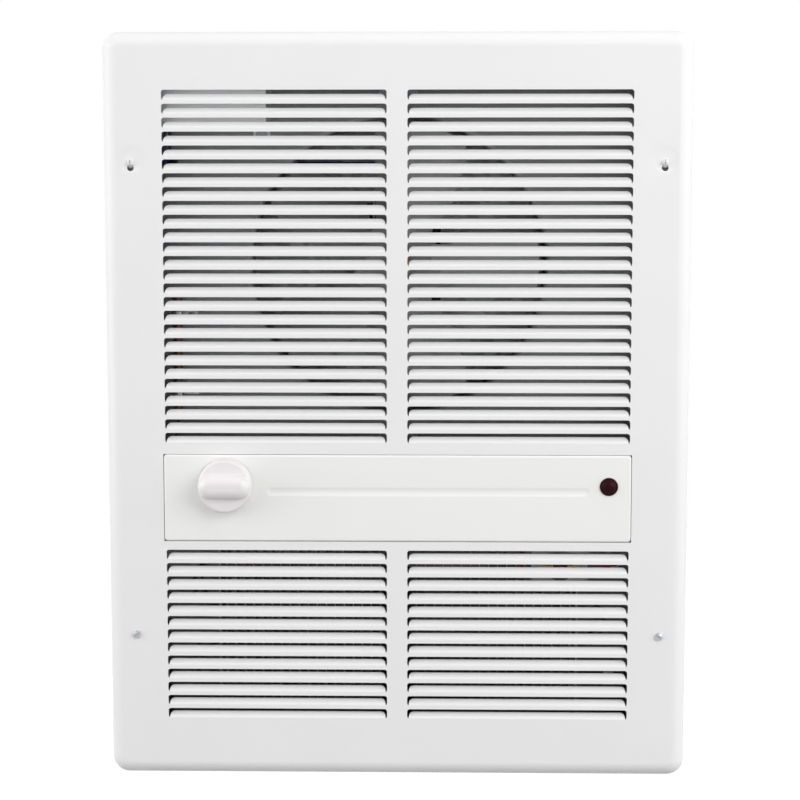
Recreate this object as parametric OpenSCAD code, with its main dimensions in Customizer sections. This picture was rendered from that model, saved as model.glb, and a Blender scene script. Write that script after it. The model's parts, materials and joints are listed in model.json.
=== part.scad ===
// Recessed fan-forced wall heater. The origin is the centre of the wall opening on the finished wall
// face: +X is to the right seen from the room, +Y goes into the wall, +Z is up. The front panel stands
// proud of the wall at negative Y and the wall box fills the opening at positive Y.

/* [Front panel] */
// Width of the front panel
panel_w = 406; // [400:1:424]
// Height of the front panel
panel_h = 521; // [517:1:541]
// How far the panel's face stands off the wall
panel_stand = 12; // [11:0.5:15]
// Thickness of the panel's sheet steel
panel_sheet = 1.2; // [1:0.1:1.5]
// Radius of the panel's corners seen from the front
corner_r = 12; // [11.5:0.5:14]
// Radius of the rolled edge between the face and the sides
edge_r = 10.5; // [6:0.5:10.5]

/* [Louvres] */
// Rows in the intake bank above the control plate
upper_rows = 26; // [22:1:26]
// Rows in the discharge bank below the control plate
lower_rows = 13; // [11:1:13]
// Plain face left between one slot and the next
louvre_bar = 2.5; // [2.2:0.1:3.2]
// Length of each slot
slot_l = 154.7; // [146:0.1:158]
// Radius of the slots' corners
slot_corner_r = 1.6; // [1:0.1:2]
// Width of the plain bar between the two columns of slots
mullion_w = 14.2; // [11:0.1:16]
// Plain margin above the top row
top_margin = 39.8; // [35:0.1:42.5]
// Plain margin below the bottom row
bottom_margin = 41.5; // [38:0.1:46.5]
// How far each flap leans back behind the face
flap_depth = 5.4; // [4:0.1:6]
// How high each flap stands above its bend
flap_rise = 4.2; // [3.5:0.1:4.6]
// Radius of each flap's upper corners
flap_corner_r = 3; // [1:0.5:3.5]
// Gap between a flap's end and the end of its slot
flap_end_gap = 1.1; // [0.8:0.1:1.6]

/* [Control plate] */
// Width of the control plate
plate_w = 326; // [316:1:335]
// Height of the control plate
plate_h = 61; // [58:1:64]
// How far the plate stands in front of the panel's face
plate_proud = 0.6; // [0.4:0.1:1.5]
// Gap all round between the plate and the window in the panel
plate_gap = 0.3; // [0.2:0.1:1]
// Plain strip between the intake bank and the plate
strip_above = 8.3; // [7:0.1:10]
// Plain strip between the plate and the discharge bank
strip_below = 6.4; // [5:0.2:8]
// Knob centre, to the left of the middle
knob_x = -119.5; // [-125:0.5:-112]
// Height of the knob's centre below the plate's top edge
knob_drop = 21; // [19:0.1:24]
// Pilot lamp centre, to the right of the middle
lamp_x = 147.4; // [140:0.2:150]
// Height of the lamp's centre below the plate's top edge
lamp_drop = 21.8; // [18:0.2:28]
// Left end of the pressed groove
groove_left = -88; // [-91:1:-70]
// Right end of the pressed groove
groove_right = 131; // [100:1:132]
// Height of the groove's middle below the plate's top edge
groove_drop = 25.9; // [20:0.1:30]
// Height of the pressed groove
groove_h = 7; // [4:0.2:8]
// Depth of the pressed groove
groove_d = 0.8; // [0.4:0.1:1]

/* [Knob and lamp] */
// Radius of the knob's disc
knob_r = 18.6; // [17:0.2:20]
// How far the knob's front stands off the plate
knob_h = 18; // [17:0.5:22]
// How far the grip bar stands in front of the disc
grip_rise = 7; // [6:0.5:7.5]
// Half the height of the grip bar at its foot
grip_half = 8.5; // [8:0.1:11]
// Radius of the pilot lamp's rim
lamp_r = 6.35; // [6:0.05:7]
// How far the lamp's dome stands in front of its rim
lamp_dome = 2.4; // [1.5:0.1:3]

/* [Wall box] */
// Width of the wall box outside
box_w = 362; // [358:1:366]
// Height of the wall box outside
box_h = 483; // [480:1:486]
// Depth of the wall box into the wall
box_d = 100; // [99:0.5:115]
// Thickness of the box's sheet steel
box_sheet = 1.2; // [1:0.1:1.4]
// Width of the flange that lies on the wall
flange_w = 12; // [10:0.5:12]
// Radius of the cable knockouts
knockout_r = 11.1; // [10.5:0.1:11.5]
// Radius of the nail holes in the box's sides
nail_r = 2.6; // [2:0.1:3]
// Spacing of the nail holes into the wall
nail_span_y = 60; // [50:1:64]
// Spacing of the nail holes up the wall
nail_span_z = 380; // [360:5:400]

/* [Fan and motor] */
// Radius of the fan at its blade tips
fan_r = 100; // [90:1:101]
// Running gap between the blade tips and the orifice
tip_gap = 3; // [2:0.5:5]
// Number of fan blades
fan_blades = 5; // [3:1:6]
// Pitch of the blades against the plane of the fan
blade_pitch = 21; // [16:1:23]
// Width of one blade seen from the front
blade_w = 46; // [38:1:48]
// Depth of the fan plate behind the wall face
fan_plate_y = 36; // [35.5:0.5:37]
// Radius of the motor shaft
shaft_r = 3; // [2.8:0.1:3.2]
// Radius of the motor's rotor
rotor_r = 17; // [15:0.5:17.5]
// Thickness of the motor's iron stack
stack_t = 19; // [16:1:19]

/* [Heating element] */
// Radius of the element's sheath
sheath_r = 4; // [3.5:0.1:4.5]
// Room between the fins and the deflector below them
fin_clear = 17.5; // [16:0.5:30]
// Room between the ends of the passes and the box's sides
pass_end_room = 33.8; // [32:0.2:40]
// Distance between the fins
fin_pitch = 6.5; // [5.5:0.5:8]
// Width of each fin, front to back
fin_w = 28; // [24:1:30]

/* [Hidden] */

// Smooth circles, clearances and the thread sizes
$fn = 64;
fit = 0.05;
close_gap = 0.1;
screw_shank_r = 1.65;
screw_head_r = 3.2;
screw_head_t = 2;

// Heights of the two louvre banks and of the control plate
face_y = -panel_stand;
bank_room = panel_h - top_margin - bottom_margin - plate_h - strip_above - strip_below;
louvre_pitch = (bank_room + 2 * louvre_bar) / (upper_rows + lower_rows);
slot_h = louvre_pitch - louvre_bar;
upper_top = panel_h / 2 - top_margin;
upper_bottom = upper_top - (upper_rows - 1) * louvre_pitch - slot_h;
plate_top = upper_bottom - strip_above;
plate_mid = plate_top - plate_h / 2;
plate_bottom = plate_top - plate_h;
lower_top = plate_bottom - strip_below;
lower_bottom = lower_top - (lower_rows - 1) * louvre_pitch - slot_h;
upper_mid = (upper_top + upper_bottom) / 2;
slot_x = (mullion_w + slot_l) / 2;
louvre_tops = concat([for (i = [0:upper_rows - 1]) upper_top - i * louvre_pitch],
    [for (i = [0:lower_rows - 1]) lower_top - i * louvre_pitch]);
knob_z = plate_top - knob_drop;
lamp_z = plate_top - lamp_drop;
groove_z = plate_top - groove_drop;

// Inside of the wall box
in_x = box_w / 2 - box_sheet;
in_z = box_h / 2 - box_sheet;
in_y = box_d - box_sheet;
side_fit = in_x - close_gap;

// Cuts through the panel's face, and the window for the control plate
cut_front = face_y - 1;
cut_back = face_y + panel_sheet + 1;
window_w = plate_w + 2 * plate_gap;
window_h = plate_h + 2 * plate_gap;

// Panel fasteners: the upper pair sits in keyholes, which the panel hangs on
fixing_x = box_w / 2 + 2.5;
upper_screw_z = 171.3;
lower_screw_z = -159;
keyhole_drop = 3.7;
keyhole_r = 2.3;
keyhole_slot_r = 1.8;
dimple_r = 10;
dimple_d = 0.6;
dimple_z = upper_screw_z + 2.3;
standoff_r = 3.5;
standoff_stub_r = 2.4;

// Control plate and the channel behind it
plate_y = face_y - plate_proud;
plate_sheet = 1.2;
plate_corner_r = 2.2;
plate_edge_r = 1.5;
web_y = -box_sheet;
lamp_body_r = lamp_r - 1;
lamp_body_back = 16;
lamp_tab_l = 6;
channel_top = plate_top + 3.6;
channel_bottom = plate_bottom - 4.4;
stud_r = 2;
stud_x = [-60, 90];
stud_z = plate_mid - 12;
wire_hole_r = 7;
shelf_hole_r = 4.8;
left_wire_x = -in_x + 11;
right_wire_x = in_x - 7;
wire_y = 12;
channel_screw_places = [[10, channel_top - 14], [10, channel_bottom + 14]];

// Fan, orifice and motor, back along the shaft
fan_z = upper_mid;
throat_r = fan_r + tip_gap;
lip_r = 6;
lip_throat = 3;
plate_back = fan_plate_y + box_sheet;
flange_back = plate_back + 12;
fan_plate_screw_places = [for (z = [90, -10, -110]) [plate_back + 7, fan_z + z]];
blade_sheet = 1.2;
hub_disc_r = 31;
hub_disc_y = fan_plate_y - 6;
hub_r = 9;
shaft_front = hub_disc_y - 9;
strap_y = plate_back + 10.8;
strap_t = 1.6;
strap_w = 34;
strap_foot = throat_r + lip_r + 4;
strap_screws_at = [for (x = [-10, 10], s = [-1, 1]) [x, 0, s * (strap_foot + 8)]];
grommet_gap = 2.4;
grommet_neck_r = 3.4;
grommet_r = 5.6;
bracket_y = strap_y + strap_t + grommet_gap;
bracket_t = 4;
bracket_leg = 4;
stack_y = bracket_y + bracket_t + bracket_leg;
stack_back = stack_y + stack_t;
rear_bracket_y = stack_back + bracket_leg;
shaft_back = rear_bracket_y + bracket_t + 3;
motor_bolt_r = 1.9;
motor_bolt_x = rotor_r + 8;
stack_half = motor_bolt_x + 5;
air_gap = 0.4;
stack_low = rotor_r + 9;
window_low = rotor_r + 4;
leg_low = window_low + 11;
leg_high = leg_low + 12;
window_half = stack_half - 11;
coil_t = 9.4;
bearing_r = 6;

// Heating element: four passes between the channel and the deflector
deflector_z = -in_z + 8;
element_y = fan_plate_y;
element_passes = 4;
fin_top = channel_bottom - 6.3;
fin_h = fin_top - deflector_z - fin_clear;
element_mid = fin_top - fin_h / 2;
pass_l = 2 * (in_x - pass_end_room);
pass_pitch = fin_h / element_passes;
pass_z = [for (i = [0:element_passes - 1]) element_mid + ((element_passes - 1) / 2 - i) * pass_pitch];
end_pass_z = [pass_z[0], pass_z[element_passes - 1]];
bend_r = pass_pitch / 2;
fin_t = 0.5;
element_bracket_x = pass_l / 2 - bend_r - 4;
fin_reach = element_bracket_x - 4;
fin_count = 2 * floor(fin_reach / fin_pitch) + 1;
terminal_x = in_x - 16;
insulator_x = pass_l / 2 + 6;
terminal_pin_r = 1.6;

// Air deflector behind and below the element
deflector_rise = 36;
deflector_back = in_y - 2.5;
deflector_bend = 60;
deflector_flat = deflector_back - deflector_bend;
deflector_half = side_fit - 2;
deflector_front = 9;
deflector_screw_x = 120;
deflector_screw_y = 4.4;
element_screw_y = 27;

// Thermostat behind the knob
thermostat_half_x = 27;
thermostat_half_z = 16.5;
thermostat_d = 26;
bushing_r = 4.76;
bushing_front = web_y - 6;
dial_shaft_r = 3.175;
dial_flat = 2.3;
knob_gap = 0.8;
knob_back = plate_y - knob_gap;
knob_front = plate_y - knob_h;
bulb_x = knob_x - thermostat_half_x - 11;
bulb_y = fan_plate_y - 8;
bulb_z = channel_top + 24;
bulb_l = 80;
bulb_r = 3.2;
bulb_neck = 4;
capillary_r = 0.8;
clip_places = [for (z = [14, bulb_l - 14]) [bulb_x + 9, 0, bulb_z + z]];

// Resettable limit in front of the element
limit_x = element_bracket_x - 13;
limit_z = channel_bottom - 17;
limit_plate_y = 12;
limit_wire_x = limit_x - 27;
limit_body_r = 9;
limit_body_t = 10;
limit_front = limit_plate_y - limit_body_t;
limit_tab_x = 7;
limit_screws = [for (s = [-1, 1]) [limit_x + 8 * s, 26]];
reset_r = 2.5;
reset_travel = 2;
reset_front = limit_front - reset_travel - 2.5;
reset_collar_y = limit_front + 2.5;

// Wiring compartment in the upper left corner
junction_left = -in_x + 4;
junction_right = junction_left + 84.8;
junction_low = in_z - 44.1;
junction_front = 2;
cover_sheet = 0.9;
knockout_x = (junction_left + junction_right) / 2;
knockout_y = 18;
knockout_drop = 28.8;
block_x = knockout_x;
block_z = junction_low + 22;
block_poles = [-1, 0, 1];
block_pole = 15;
block_half_x = 1.5 * block_pole + 2;
block_half_z = 9;
block_front = fan_plate_y - 16;
block_screw_r = 1.5;
block_screws = [for (i = block_poles, s = [-1, 1]) [block_x + i * block_pole, block_front, block_z + 5 * s]];
ground_at = [junction_right - 8, block_z + 12];
junction_ears = [for (x = [junction_left + 6, junction_right - 6]) [x, junction_low - 5]];
wire_r = 1.3;
lead_r = 1;
junction_wire_x = left_wire_x + 6;
feed_y = fan_plate_y - 8;
lead_x = junction_left + 12;
lead_y = fan_plate_y - 3;
lead_z = junction_low - 22;

// ---------- helpers ----------

// Flat shape in X and Z, thick along Y
module along_y(y0, y1) {
    translate([0, y1, 0]) rotate([90, 0, 0]) linear_extrude(y1 - y0) children();
}

// Flat shape in Y and Z, long along X
module along_x(x0, x1) {
    translate([x0, 0, 0]) rotate([90, 0, 90]) linear_extrude(x1 - x0) children();
}

module rod_x(r, x0, x1) {
    translate([x0, 0, 0]) rotate([0, 90, 0]) cylinder(r = r, h = x1 - x0);
}

module rod_y(r, y0, y1) {
    translate([0, y0, 0]) rotate([-90, 0, 0]) cylinder(r = r, h = y1 - y0);
}

module rod_z(r, z0, z1) {
    translate([0, 0, z0]) cylinder(r = r, h = z1 - z0);
}

// Solid of revolution about Y: the profile is radius against Y
module turned_y() {
    rotate([-90, 0, 0]) rotate_extrude() children();
}

module block(x0, x1, y0, y1, z0, z1) {
    translate([x0, y0, z0]) cube([x1 - x0, y1 - y0, z1 - z0]);
}

module both_sides() {
    children();
    mirror([1, 0, 0]) children();
}

module rounded_rect(w, h, r) {
    square([w - 2 * r, h], center = true);
    square([w, h - 2 * r], center = true);
    for (sx = [-1, 1], sz = [-1, 1]) translate([sx * (w / 2 - r), sz * (h / 2 - r)]) circle(r);
}

// Corners of a rectangle rounded by short straight steps
function step_rect(w, h, r, n) = [
    for (c = [[1, 1, 0], [-1, 1, 90], [-1, -1, 180], [1, -1, 270]], i = [0:n])
        [c[0] * (w / 2 - r) + r * cos(c[2] + 90 * i / n), c[1] * (h / 2 - r) + r * sin(c[2] + 90 * i / n)]
];

// Cross-section of a pan: square at the back, rounded towards the face
module pan_section(half, r, front, back) {
    translate([-half, front + r]) square([2 * half, back - front - r]);
    translate([-half + r, front]) square([2 * half - 2 * r, back - front]);
    for (s = [-1, 1]) translate([s * (half - r), front + r]) intersection() {
        circle(r);
        translate([-r, -r]) square([2 * r, r]);
    }
}

// Half of that section, for turning a corner
module pan_corner_section(rc, re, front, back) {
    translate([0, front]) square([rc - re, back - front]);
    translate([0, front + re]) square([rc, back - front - re]);
    intersection() {
        translate([rc - re, front + re]) circle(re);
        translate([0, front]) square([rc, re]);
    }
}

// Solid pan with rolled edges: rc rounds the corners seen from the front, re the edges
module pan(w, h, rc, re, front, back) {
    translate([0, 0, -h / 2 + rc]) linear_extrude(h - 2 * rc) pan_section(w / 2, re, front, back);
    translate([-w / 2 + rc, 0, 0]) rotate([0, 90, 0]) linear_extrude(w - 2 * rc)
        pan_section(h / 2, re, front, back);
    for (sx = [-1, 1], sz = [-1, 1]) translate([sx * (w / 2 - rc), 0, sz * (h / 2 - rc)])
        turned_y() pan_corner_section(rc, re, front, back);
}

// Pressed sheet pan, open at the back
module sheet_pan(w, h, rc, re, t, front, back) {
    difference() {
        pan(w, h, rc, re, front, back);
        pan(w - 2 * t, h - 2 * t, rc - t, re - t, front + t, back + 1);
    }
}

// Machine screw along +Y: the head's underside is at Y = 0 and the slotted head points to -Y
module screw_y(shank_r, shank_l, head_r, head_t, slot_turn = 0) {
    slot_depth = 0.6 * head_t;
    slot_half = 0.4;
    difference() {
        union() {
            rod_y(shank_r, -head_t / 2, shank_l);
            turned_y() screw_head_profile(head_r, head_t);
        }
        rotate([0, slot_turn, 0])
            block(-head_r - 1, head_r + 1, -head_t - 1, slot_depth - head_t, -slot_half, slot_half);
    }
}

// Low domed head: flat underside at 0, crown at -head_t
module screw_head_profile(head_r, head_t) {
    crown = 2 * head_r;
    intersection() {
        translate([0, -head_t]) square([head_r, head_t]);
        translate([0, crown - head_t]) circle(crown);
    }
}

// Sheet screw with a hexagon washer head along +X
module screw_x(shank_l) {
    rod_x(screw_shank_r, -0.5, shank_l);
    rod_x(screw_head_r + 0.9, -0.8, 0);
    translate([-2.6, 0, 0]) rotate([0, 90, 0]) cylinder(r = screw_head_r, h = 2, $fn = 6);
}

// The same screw along +Y
module hex_screw_y(shank_l) {
    rotate([0, 0, 90]) screw_x(shank_l);
}

// A wire's route: every inner corner of the listed points is rounded
function unit(v) = v / norm(v);
function corner(a, b, c, r, n) = let (p = b - r * unit(b - a), q = b + r * unit(c - b))
    [for (i = [0:n]) let (t = i / n) (1 - t) * (1 - t) * p + 2 * t * (1 - t) * b + t * t * q];
function route(pts, r, n = 4) = concat([pts[0]],
    [for (i = [1:len(pts) - 2]) each corner(pts[i - 1], pts[i], pts[i + 1], r, n)], [pts[len(pts) - 1]]);

// Round tube swept along a route; the lead vector is square to none of the wiring directions
module swept(path, r, sides = 8) {
    lead = [0.5, 0.71, -0.43];
    last = len(path) - 1;
    rings = [for (i = [0:last])
        let (t = unit(path[min(i + 1, last)] - path[max(i - 1, 0)]))
        let (u = unit(cross(t, lead)), v = cross(t, u))
        for (k = [0:sides - 1]) path[i] + r * (cos(360 * k / sides) * u + sin(360 * k / sides) * v)];
    walls = [for (i = [0:last - 1], k = [0:sides - 1])
        let (a = i * sides + k, b = i * sides + (k + 1) % sides)
        each [[a, b + sides, b], [a, a + sides, b + sides]]];
    end = last * sides;
    caps = [for (k = [1:sides - 2]) each [[0, k, k + 1], [end, end + k + 1, end + k]]];
    polyhedron(points = rings, faces = concat(walls, caps));
}

// ---------- wall box and front panel ----------

// Knockout disc held by one tab: the cut ring around it
module knockout_ring() {
    difference() {
        circle(knockout_r);
        circle(knockout_r - 0.4);
        translate([knockout_r - 1.5, -2]) square([3, 4]);
    }
}

module box_back() {
    color("lightsteelblue") difference() {
        block(-in_x, in_x, in_y, box_d, -in_z, in_z);
        translate([knockout_x, 0, knockout_drop - in_z]) along_y(in_y - 1, box_d + 1) knockout_ring();
    }
}

// Left and right walls, each with its flange
module box_sides() {
    color("lightsteelblue") difference() {
        both_sides() {
            block(in_x, box_w / 2, -box_sheet, box_d, -in_z, in_z);
            block(in_x, box_w / 2 + flange_w, -box_sheet, 0, -in_z, in_z);
        }
        for (s = [-1, 1], z = [upper_screw_z, lower_screw_z]) translate([s * fixing_x, 0, z])
            rod_y(standoff_stub_r + fit, -box_sheet - 1, 1);
        for (s = [-1, 1], dy = [-1, 1], dz = [-1, 1])
            translate([0, box_d / 2 + dy * nail_span_y / 2, dz * nail_span_z / 2])
                rod_x(nail_r, s > 0 ? in_x - 1 : -box_w / 2 - 1, s > 0 ? box_w / 2 + 1 : -in_x + 1);
        translate([0, 0, in_z - knockout_drop]) along_x(-box_w / 2 - 1, -in_x + 1)
            translate([box_d / 2 + 5, 0]) knockout_ring();
        side_screw_holes();
    }
}

// Top and bottom walls, each with its flange; the cable comes in through the top
module box_ends() {
    color("lightsteelblue") difference() {
        for (s = [0, 1]) mirror([0, 0, s]) {
            block(-box_w / 2, box_w / 2, -box_sheet, box_d, in_z, box_h / 2);
            block(-box_w / 2 - flange_w, box_w / 2 + flange_w, -box_sheet, 0, in_z, box_h / 2 + flange_w);
        }
        translate([knockout_x, knockout_y, 0]) rod_z(knockout_r, in_z - 1, box_h / 2 + 1);
        translate([knockout_x, box_d / 2 + 20, in_z - 1]) linear_extrude(box_sheet + 2) knockout_ring();
        for (x = [-1, 1]) translate([x * deflector_screw_x, deflector_screw_y, -in_z])
            rod_z(screw_shank_r + fit, -box_sheet - 1, 1);
    }
}

// Clearance holes in the box's sides for the screws of the channel and the fan plate
module side_screw_holes() {
    for (p = concat(channel_screw_places, fan_plate_screw_places)) translate([0, p[0], p[1]])
        rod_x(screw_shank_r + fit, -box_w / 2 - 1, box_w / 2 + 1);
}

// Screws that hold the channel and the fan plate in the box, and the limit's bracket on the channel
module sheet_screws() {
    color("gray") {
        both_sides() for (p = concat(channel_screw_places, fan_plate_screw_places))
            translate([side_fit - box_sheet, p[0], p[1]]) screw_x(box_sheet * 2);
        for (p = limit_screws) translate([p[0], p[1], channel_bottom - box_sheet])
            rotate([0, -90, 0]) screw_x(box_sheet * 2 + 2);
    }
}

module panel_standoffs() {
    color("silver") both_sides() {
        standoff(upper_screw_z, face_y + panel_sheet + dimple_d);
        standoff(lower_screw_z, face_y + panel_sheet);
    }
}

// Threaded pillar with a stub clinched in the flange
module standoff(z, front) {
    translate([fixing_x, 0, z]) difference() {
        union() {
            rod_y(standoff_r, front, -box_sheet);
            rod_y(standoff_stub_r, -box_sheet - 1, 0);
        }
        rod_y(screw_shank_r + fit, front - 1, -box_sheet - 0.6);
    }
}

module front_panel() {
    color("white") {
        difference() {
            union() {
                sheet_pan(panel_w, panel_h, corner_r, edge_r, panel_sheet, face_y, 0);
                for (s = [-1, 1]) translate([s * fixing_x, 0, dimple_z])
                    rod_y(dimple_r, face_y + panel_sheet / 2, face_y + panel_sheet + dimple_d);
            }
            along_y(cut_front, cut_back) {
                louvre_rows() translate([0, -slot_h / 2])
                    polygon(step_rect(slot_l, slot_h, slot_corner_r, 2));
                translate([0, plate_mid]) square([window_w, window_h], center = true);
            }
            for (s = [-1, 1]) translate([s * fixing_x, 0, 0]) {
                translate([0, 0, dimple_z]) dimple();
                keyhole();
                translate([0, 0, lower_screw_z]) rod_y(screw_shank_r + 0.3, cut_front, cut_back);
            }
        }
        for (s = [-1, 1], z = louvre_tops) translate([s * slot_x, 0, z - slot_h]) flap();
    }
}

module louvre_rows() {
    for (s = [-1, 1], z = louvre_tops) translate([s * slot_x, z]) children();
}

// One flap, trimmed at its upper corners
module flap() {
    half = slot_l / 2 - flap_end_gap;
    r = flap_corner_r;
    intersection() {
        along_x(-half, half) polygon(flap_section(panel_sheet));
        along_y(face_y - 1, face_y + flap_depth + 2) polygon(concat([[-half - 1, -1], [half + 1, -1]],
            [for (a = [0:30:90]) [half - r + (r + 0.01) * cos(a), flap_rise - r + r * sin(a)]],
            [for (a = [90:30:180]) [r - half + (r + 0.01) * cos(a), flap_rise - r + r * sin(a)]]));
    }
}

// Bent flap in Y and Z: it leaves the face at the slot's lower edge and leans back
function flap_section(t, bend = 0.8, n = 3) =
    let (a = atan2(flap_depth - t, flap_rise - 0.6), cy = face_y + t + bend)
    let (run = flap_rise / cos(a) - bend - t)
    concat([for (i = [0:n]) [cy - (bend + t) * cos(a * i / n), (bend + t) * sin(a * i / n)]],
        [[cy - (bend + t) * cos(a) + run * sin(a), (bend + t) * sin(a) + run * cos(a)],
            [cy - bend * cos(a) + run * sin(a), bend * sin(a) + run * cos(a)]],
        [for (i = [n:-1:0]) [cy - bend * cos(a * i / n), bend * sin(a * i / n)]],
        [[face_y + t, -0.6], [face_y, -0.6]]);

// Shallow round pressing around each keyhole
module dimple() {
    translate([0, face_y + dimple_d, 0]) rotate([90, 0, 0])
        cylinder(r1 = dimple_r - 1.4, r2 = dimple_r - 0.2 + 1.2, h = dimple_d + 0.6);
}

// Keyhole: the round end below lets the screw head through, the slot above seats on the shank
module keyhole() {
    back = cut_back + dimple_d;
    translate([0, 0, upper_screw_z - keyhole_drop]) rod_y(keyhole_r, cut_front, back);
    translate([0, 0, upper_screw_z]) rod_y(keyhole_slot_r, cut_front, back);
    block(-keyhole_slot_r, keyhole_slot_r, cut_front, back, upper_screw_z - keyhole_drop, upper_screw_z);
}

module upper_panel_screws() {
    color("whitesmoke") both_sides() translate([fixing_x, face_y + dimple_d, upper_screw_z])
        screw_y(screw_shank_r, panel_stand - box_sheet - 1.6, keyhole_r - 0.1, screw_head_t, 90);
}

module lower_panel_screws() {
    color("gray") both_sides() translate([fixing_x, face_y, lower_screw_z])
        screw_y(screw_shank_r, panel_stand - box_sheet - 1, screw_head_r - 0.5, screw_head_t, 35);
}

// ---------- control plate and channel ----------

module control_plate() {
    color("ivory") difference() {
        union() {
            translate([0, 0, plate_mid])
                sheet_pan(plate_w, plate_h, plate_corner_r, plate_edge_r, plate_sheet, plate_y, web_y);
            translate([0, 0, groove_z])
                groove_body(groove_h / 2 + 0.6, plate_y + 0.5, plate_y + plate_sheet + groove_d);
            for (x = stud_x) translate([x, 0, stud_z]) rod_y(stud_r, plate_y + plate_sheet / 2, 7);
        }
        translate([0, 0, groove_z]) groove_cut();
        translate([knob_x, 0, knob_z]) rod_y(bushing_r + 1, plate_y - 1, plate_y + plate_sheet + 1);
        translate([lamp_x, 0, lamp_z]) rod_y(lamp_body_r + fit, plate_y - 1, plate_y + plate_sheet + 1);
    }
}

// Rounded bar that backs the groove
module groove_body(r, y0, y1) {
    block(groove_left, groove_right, y0, y1, -r, r);
    for (x = [groove_left, groove_right]) translate([x, 0, 0]) rod_y(r, y0, y1);
}

// Groove with a round section and round ends
module groove_cut() {
    cut_r = (groove_h * groove_h / 4 + groove_d * groove_d) / (2 * groove_d);
    translate([0, plate_y + groove_d - cut_r, 0]) {
        rod_x(cut_r, groove_left, groove_right);
        for (x = [groove_left, groove_right]) translate([x, 0, 0]) sphere(cut_r);
    }
}

module plate_nuts() {
    color("silver") for (x = stud_x) translate([x, 0, stud_z]) difference() {
        union() {
            rotate([-90, 0, 0]) cylinder(r = 4.4, h = 3.2, $fn = 6);
            rod_y(5, 0, 0.8);
        }
        rod_y(stud_r + fit, -1, 5);
    }
}

// Full-width channel that carries the controls and keeps intake and discharge air apart
module control_channel() {
    channel_depth = fan_plate_y - 0.1;
    color("gainsboro") difference() {
        union() {
            block(-side_fit, side_fit, web_y, 0, channel_bottom, channel_top);
            block(-side_fit, side_fit, web_y, channel_depth, channel_top - box_sheet, channel_top);
            block(-side_fit, side_fit, web_y, channel_depth, channel_bottom, channel_bottom + box_sheet);
            both_sides() block(side_fit - box_sheet, side_fit, web_y, 20, channel_bottom, channel_top);
        }
        translate([knob_x, 0, knob_z]) rod_y(bushing_r + fit, web_y - 1, 1);
        translate([lamp_x, 0, lamp_z]) rod_y(lamp_body_r + 0.4, web_y - 1, 1);
        for (x = stud_x) translate([x, 0, stud_z]) rod_y(stud_r + 0.2, web_y - 1, 1);
        for (p = channel_screw_places) translate([0, p[0], p[1]])
            rod_x(screw_shank_r + fit, -in_x - 1, in_x + 1);
        for (p = [[left_wire_x, channel_top], [bulb_x, channel_top], [limit_wire_x, channel_bottom],
            [right_wire_x, channel_bottom]]) translate([p[0], wire_y, p[1]]) rod_z(shelf_hole_r, -3, 3);
        limit_screw_holes();
    }
}

module limit_screw_holes() {
    for (p = limit_screws) translate([p[0], p[1], channel_bottom]) rod_z(screw_shank_r + fit, -3, 3);
}

// ---------- fan plate, fan and motor ----------

module fan_plate() {
    plate_low = channel_bottom;
    plate_high = in_z - close_gap;
    color("silver") difference() {
        union() {
            difference() {
                union() {
                    block(-side_fit, side_fit, fan_plate_y, plate_back, plate_low, plate_high);
                    both_sides()
                        block(side_fit - box_sheet, side_fit, plate_back, flange_back, plate_low, plate_high);
                    block(-side_fit, side_fit, plate_back, flange_back, plate_high - box_sheet, plate_high);
                }
                translate([0, 0, fan_z]) rod_y(throat_r + lip_r, fan_plate_y - 1, flange_back);
            }
            translate([0, 0, fan_z]) turned_y() orifice_section();
        }
        for (p = fan_plate_screw_places) translate([0, p[0], p[1]])
            rod_x(screw_shank_r + fit, -in_x - 1, in_x + 1);
        for (p = strap_screws_at) translate([0, 0, fan_z] + p)
            rod_y(screw_shank_r + fit, fan_plate_y - 1, plate_back + 1);
        translate([lead_x, 0, lead_z]) rod_y(wire_hole_r, fan_plate_y - 1, plate_back + 1);
        for (p = clip_places) translate(p) rod_y(screw_shank_r + fit, fan_plate_y - 1, plate_back + 1);
        for (p = concat(junction_ears, [ground_at])) translate([p[0], 0, p[1]])
            rod_y(screw_shank_r + fit, fan_plate_y - 1, plate_back + 1);
    }
}

// Bell mouth of the orifice: a quarter roll that leads into a short throat
module orifice_section() {
    translate([throat_r + lip_r, fan_plate_y + lip_r]) intersection() {
        difference() {
            circle(lip_r);
            circle(lip_r - box_sheet);
        }
        translate([-lip_r - 1, -lip_r - 1]) square([lip_r + 1, lip_r + 1]);
    }
    translate([throat_r, fan_plate_y + lip_r]) square([box_sheet, lip_throat]);
    translate([throat_r + lip_r - 0.01, fan_plate_y]) square([0.6, box_sheet]);
}

// Stamped fan: a flat spider disc with curved, pitched blades
module fan_blade() {
    color("lightgray") translate([0, 0, fan_z]) difference() {
        union() {
            rod_y(hub_disc_r, hub_disc_y, hub_disc_y + blade_sheet);
            for (i = [0:fan_blades - 1]) rotate([0, 360 * i / fan_blades, 0]) one_blade();
        }
        rod_y(hub_r - 3 + fit, hub_disc_y - hub_disc_r, hub_disc_y + hub_disc_r);
    }
}

// One blade along +X: a cylindrical sheet, pitched about the radius and trimmed to its outline
module one_blade() {
    curve_r = 130;
    sag = 1.2;
    intersection() {
        along_y(hub_disc_y - 30, hub_disc_y + 30) polygon(blade_outline);
        rod_y(fan_r, hub_disc_y - 31, hub_disc_y + 31);
        translate([0, hub_disc_y + blade_sheet / 2, 0]) rotate([blade_pitch, 0, 0])
            translate([0, curve_r - blade_sheet / 2 - sag, 0]) difference() {
                rod_x(curve_r, hub_disc_r - 9, fan_r + 5);
                rod_x(curve_r - blade_sheet, hub_disc_r - 10, fan_r + 6);
                block(0, fan_r + 10, 0, 2 * curve_r, -curve_r - 1, curve_r + 1);
            }
    }
}

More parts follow.
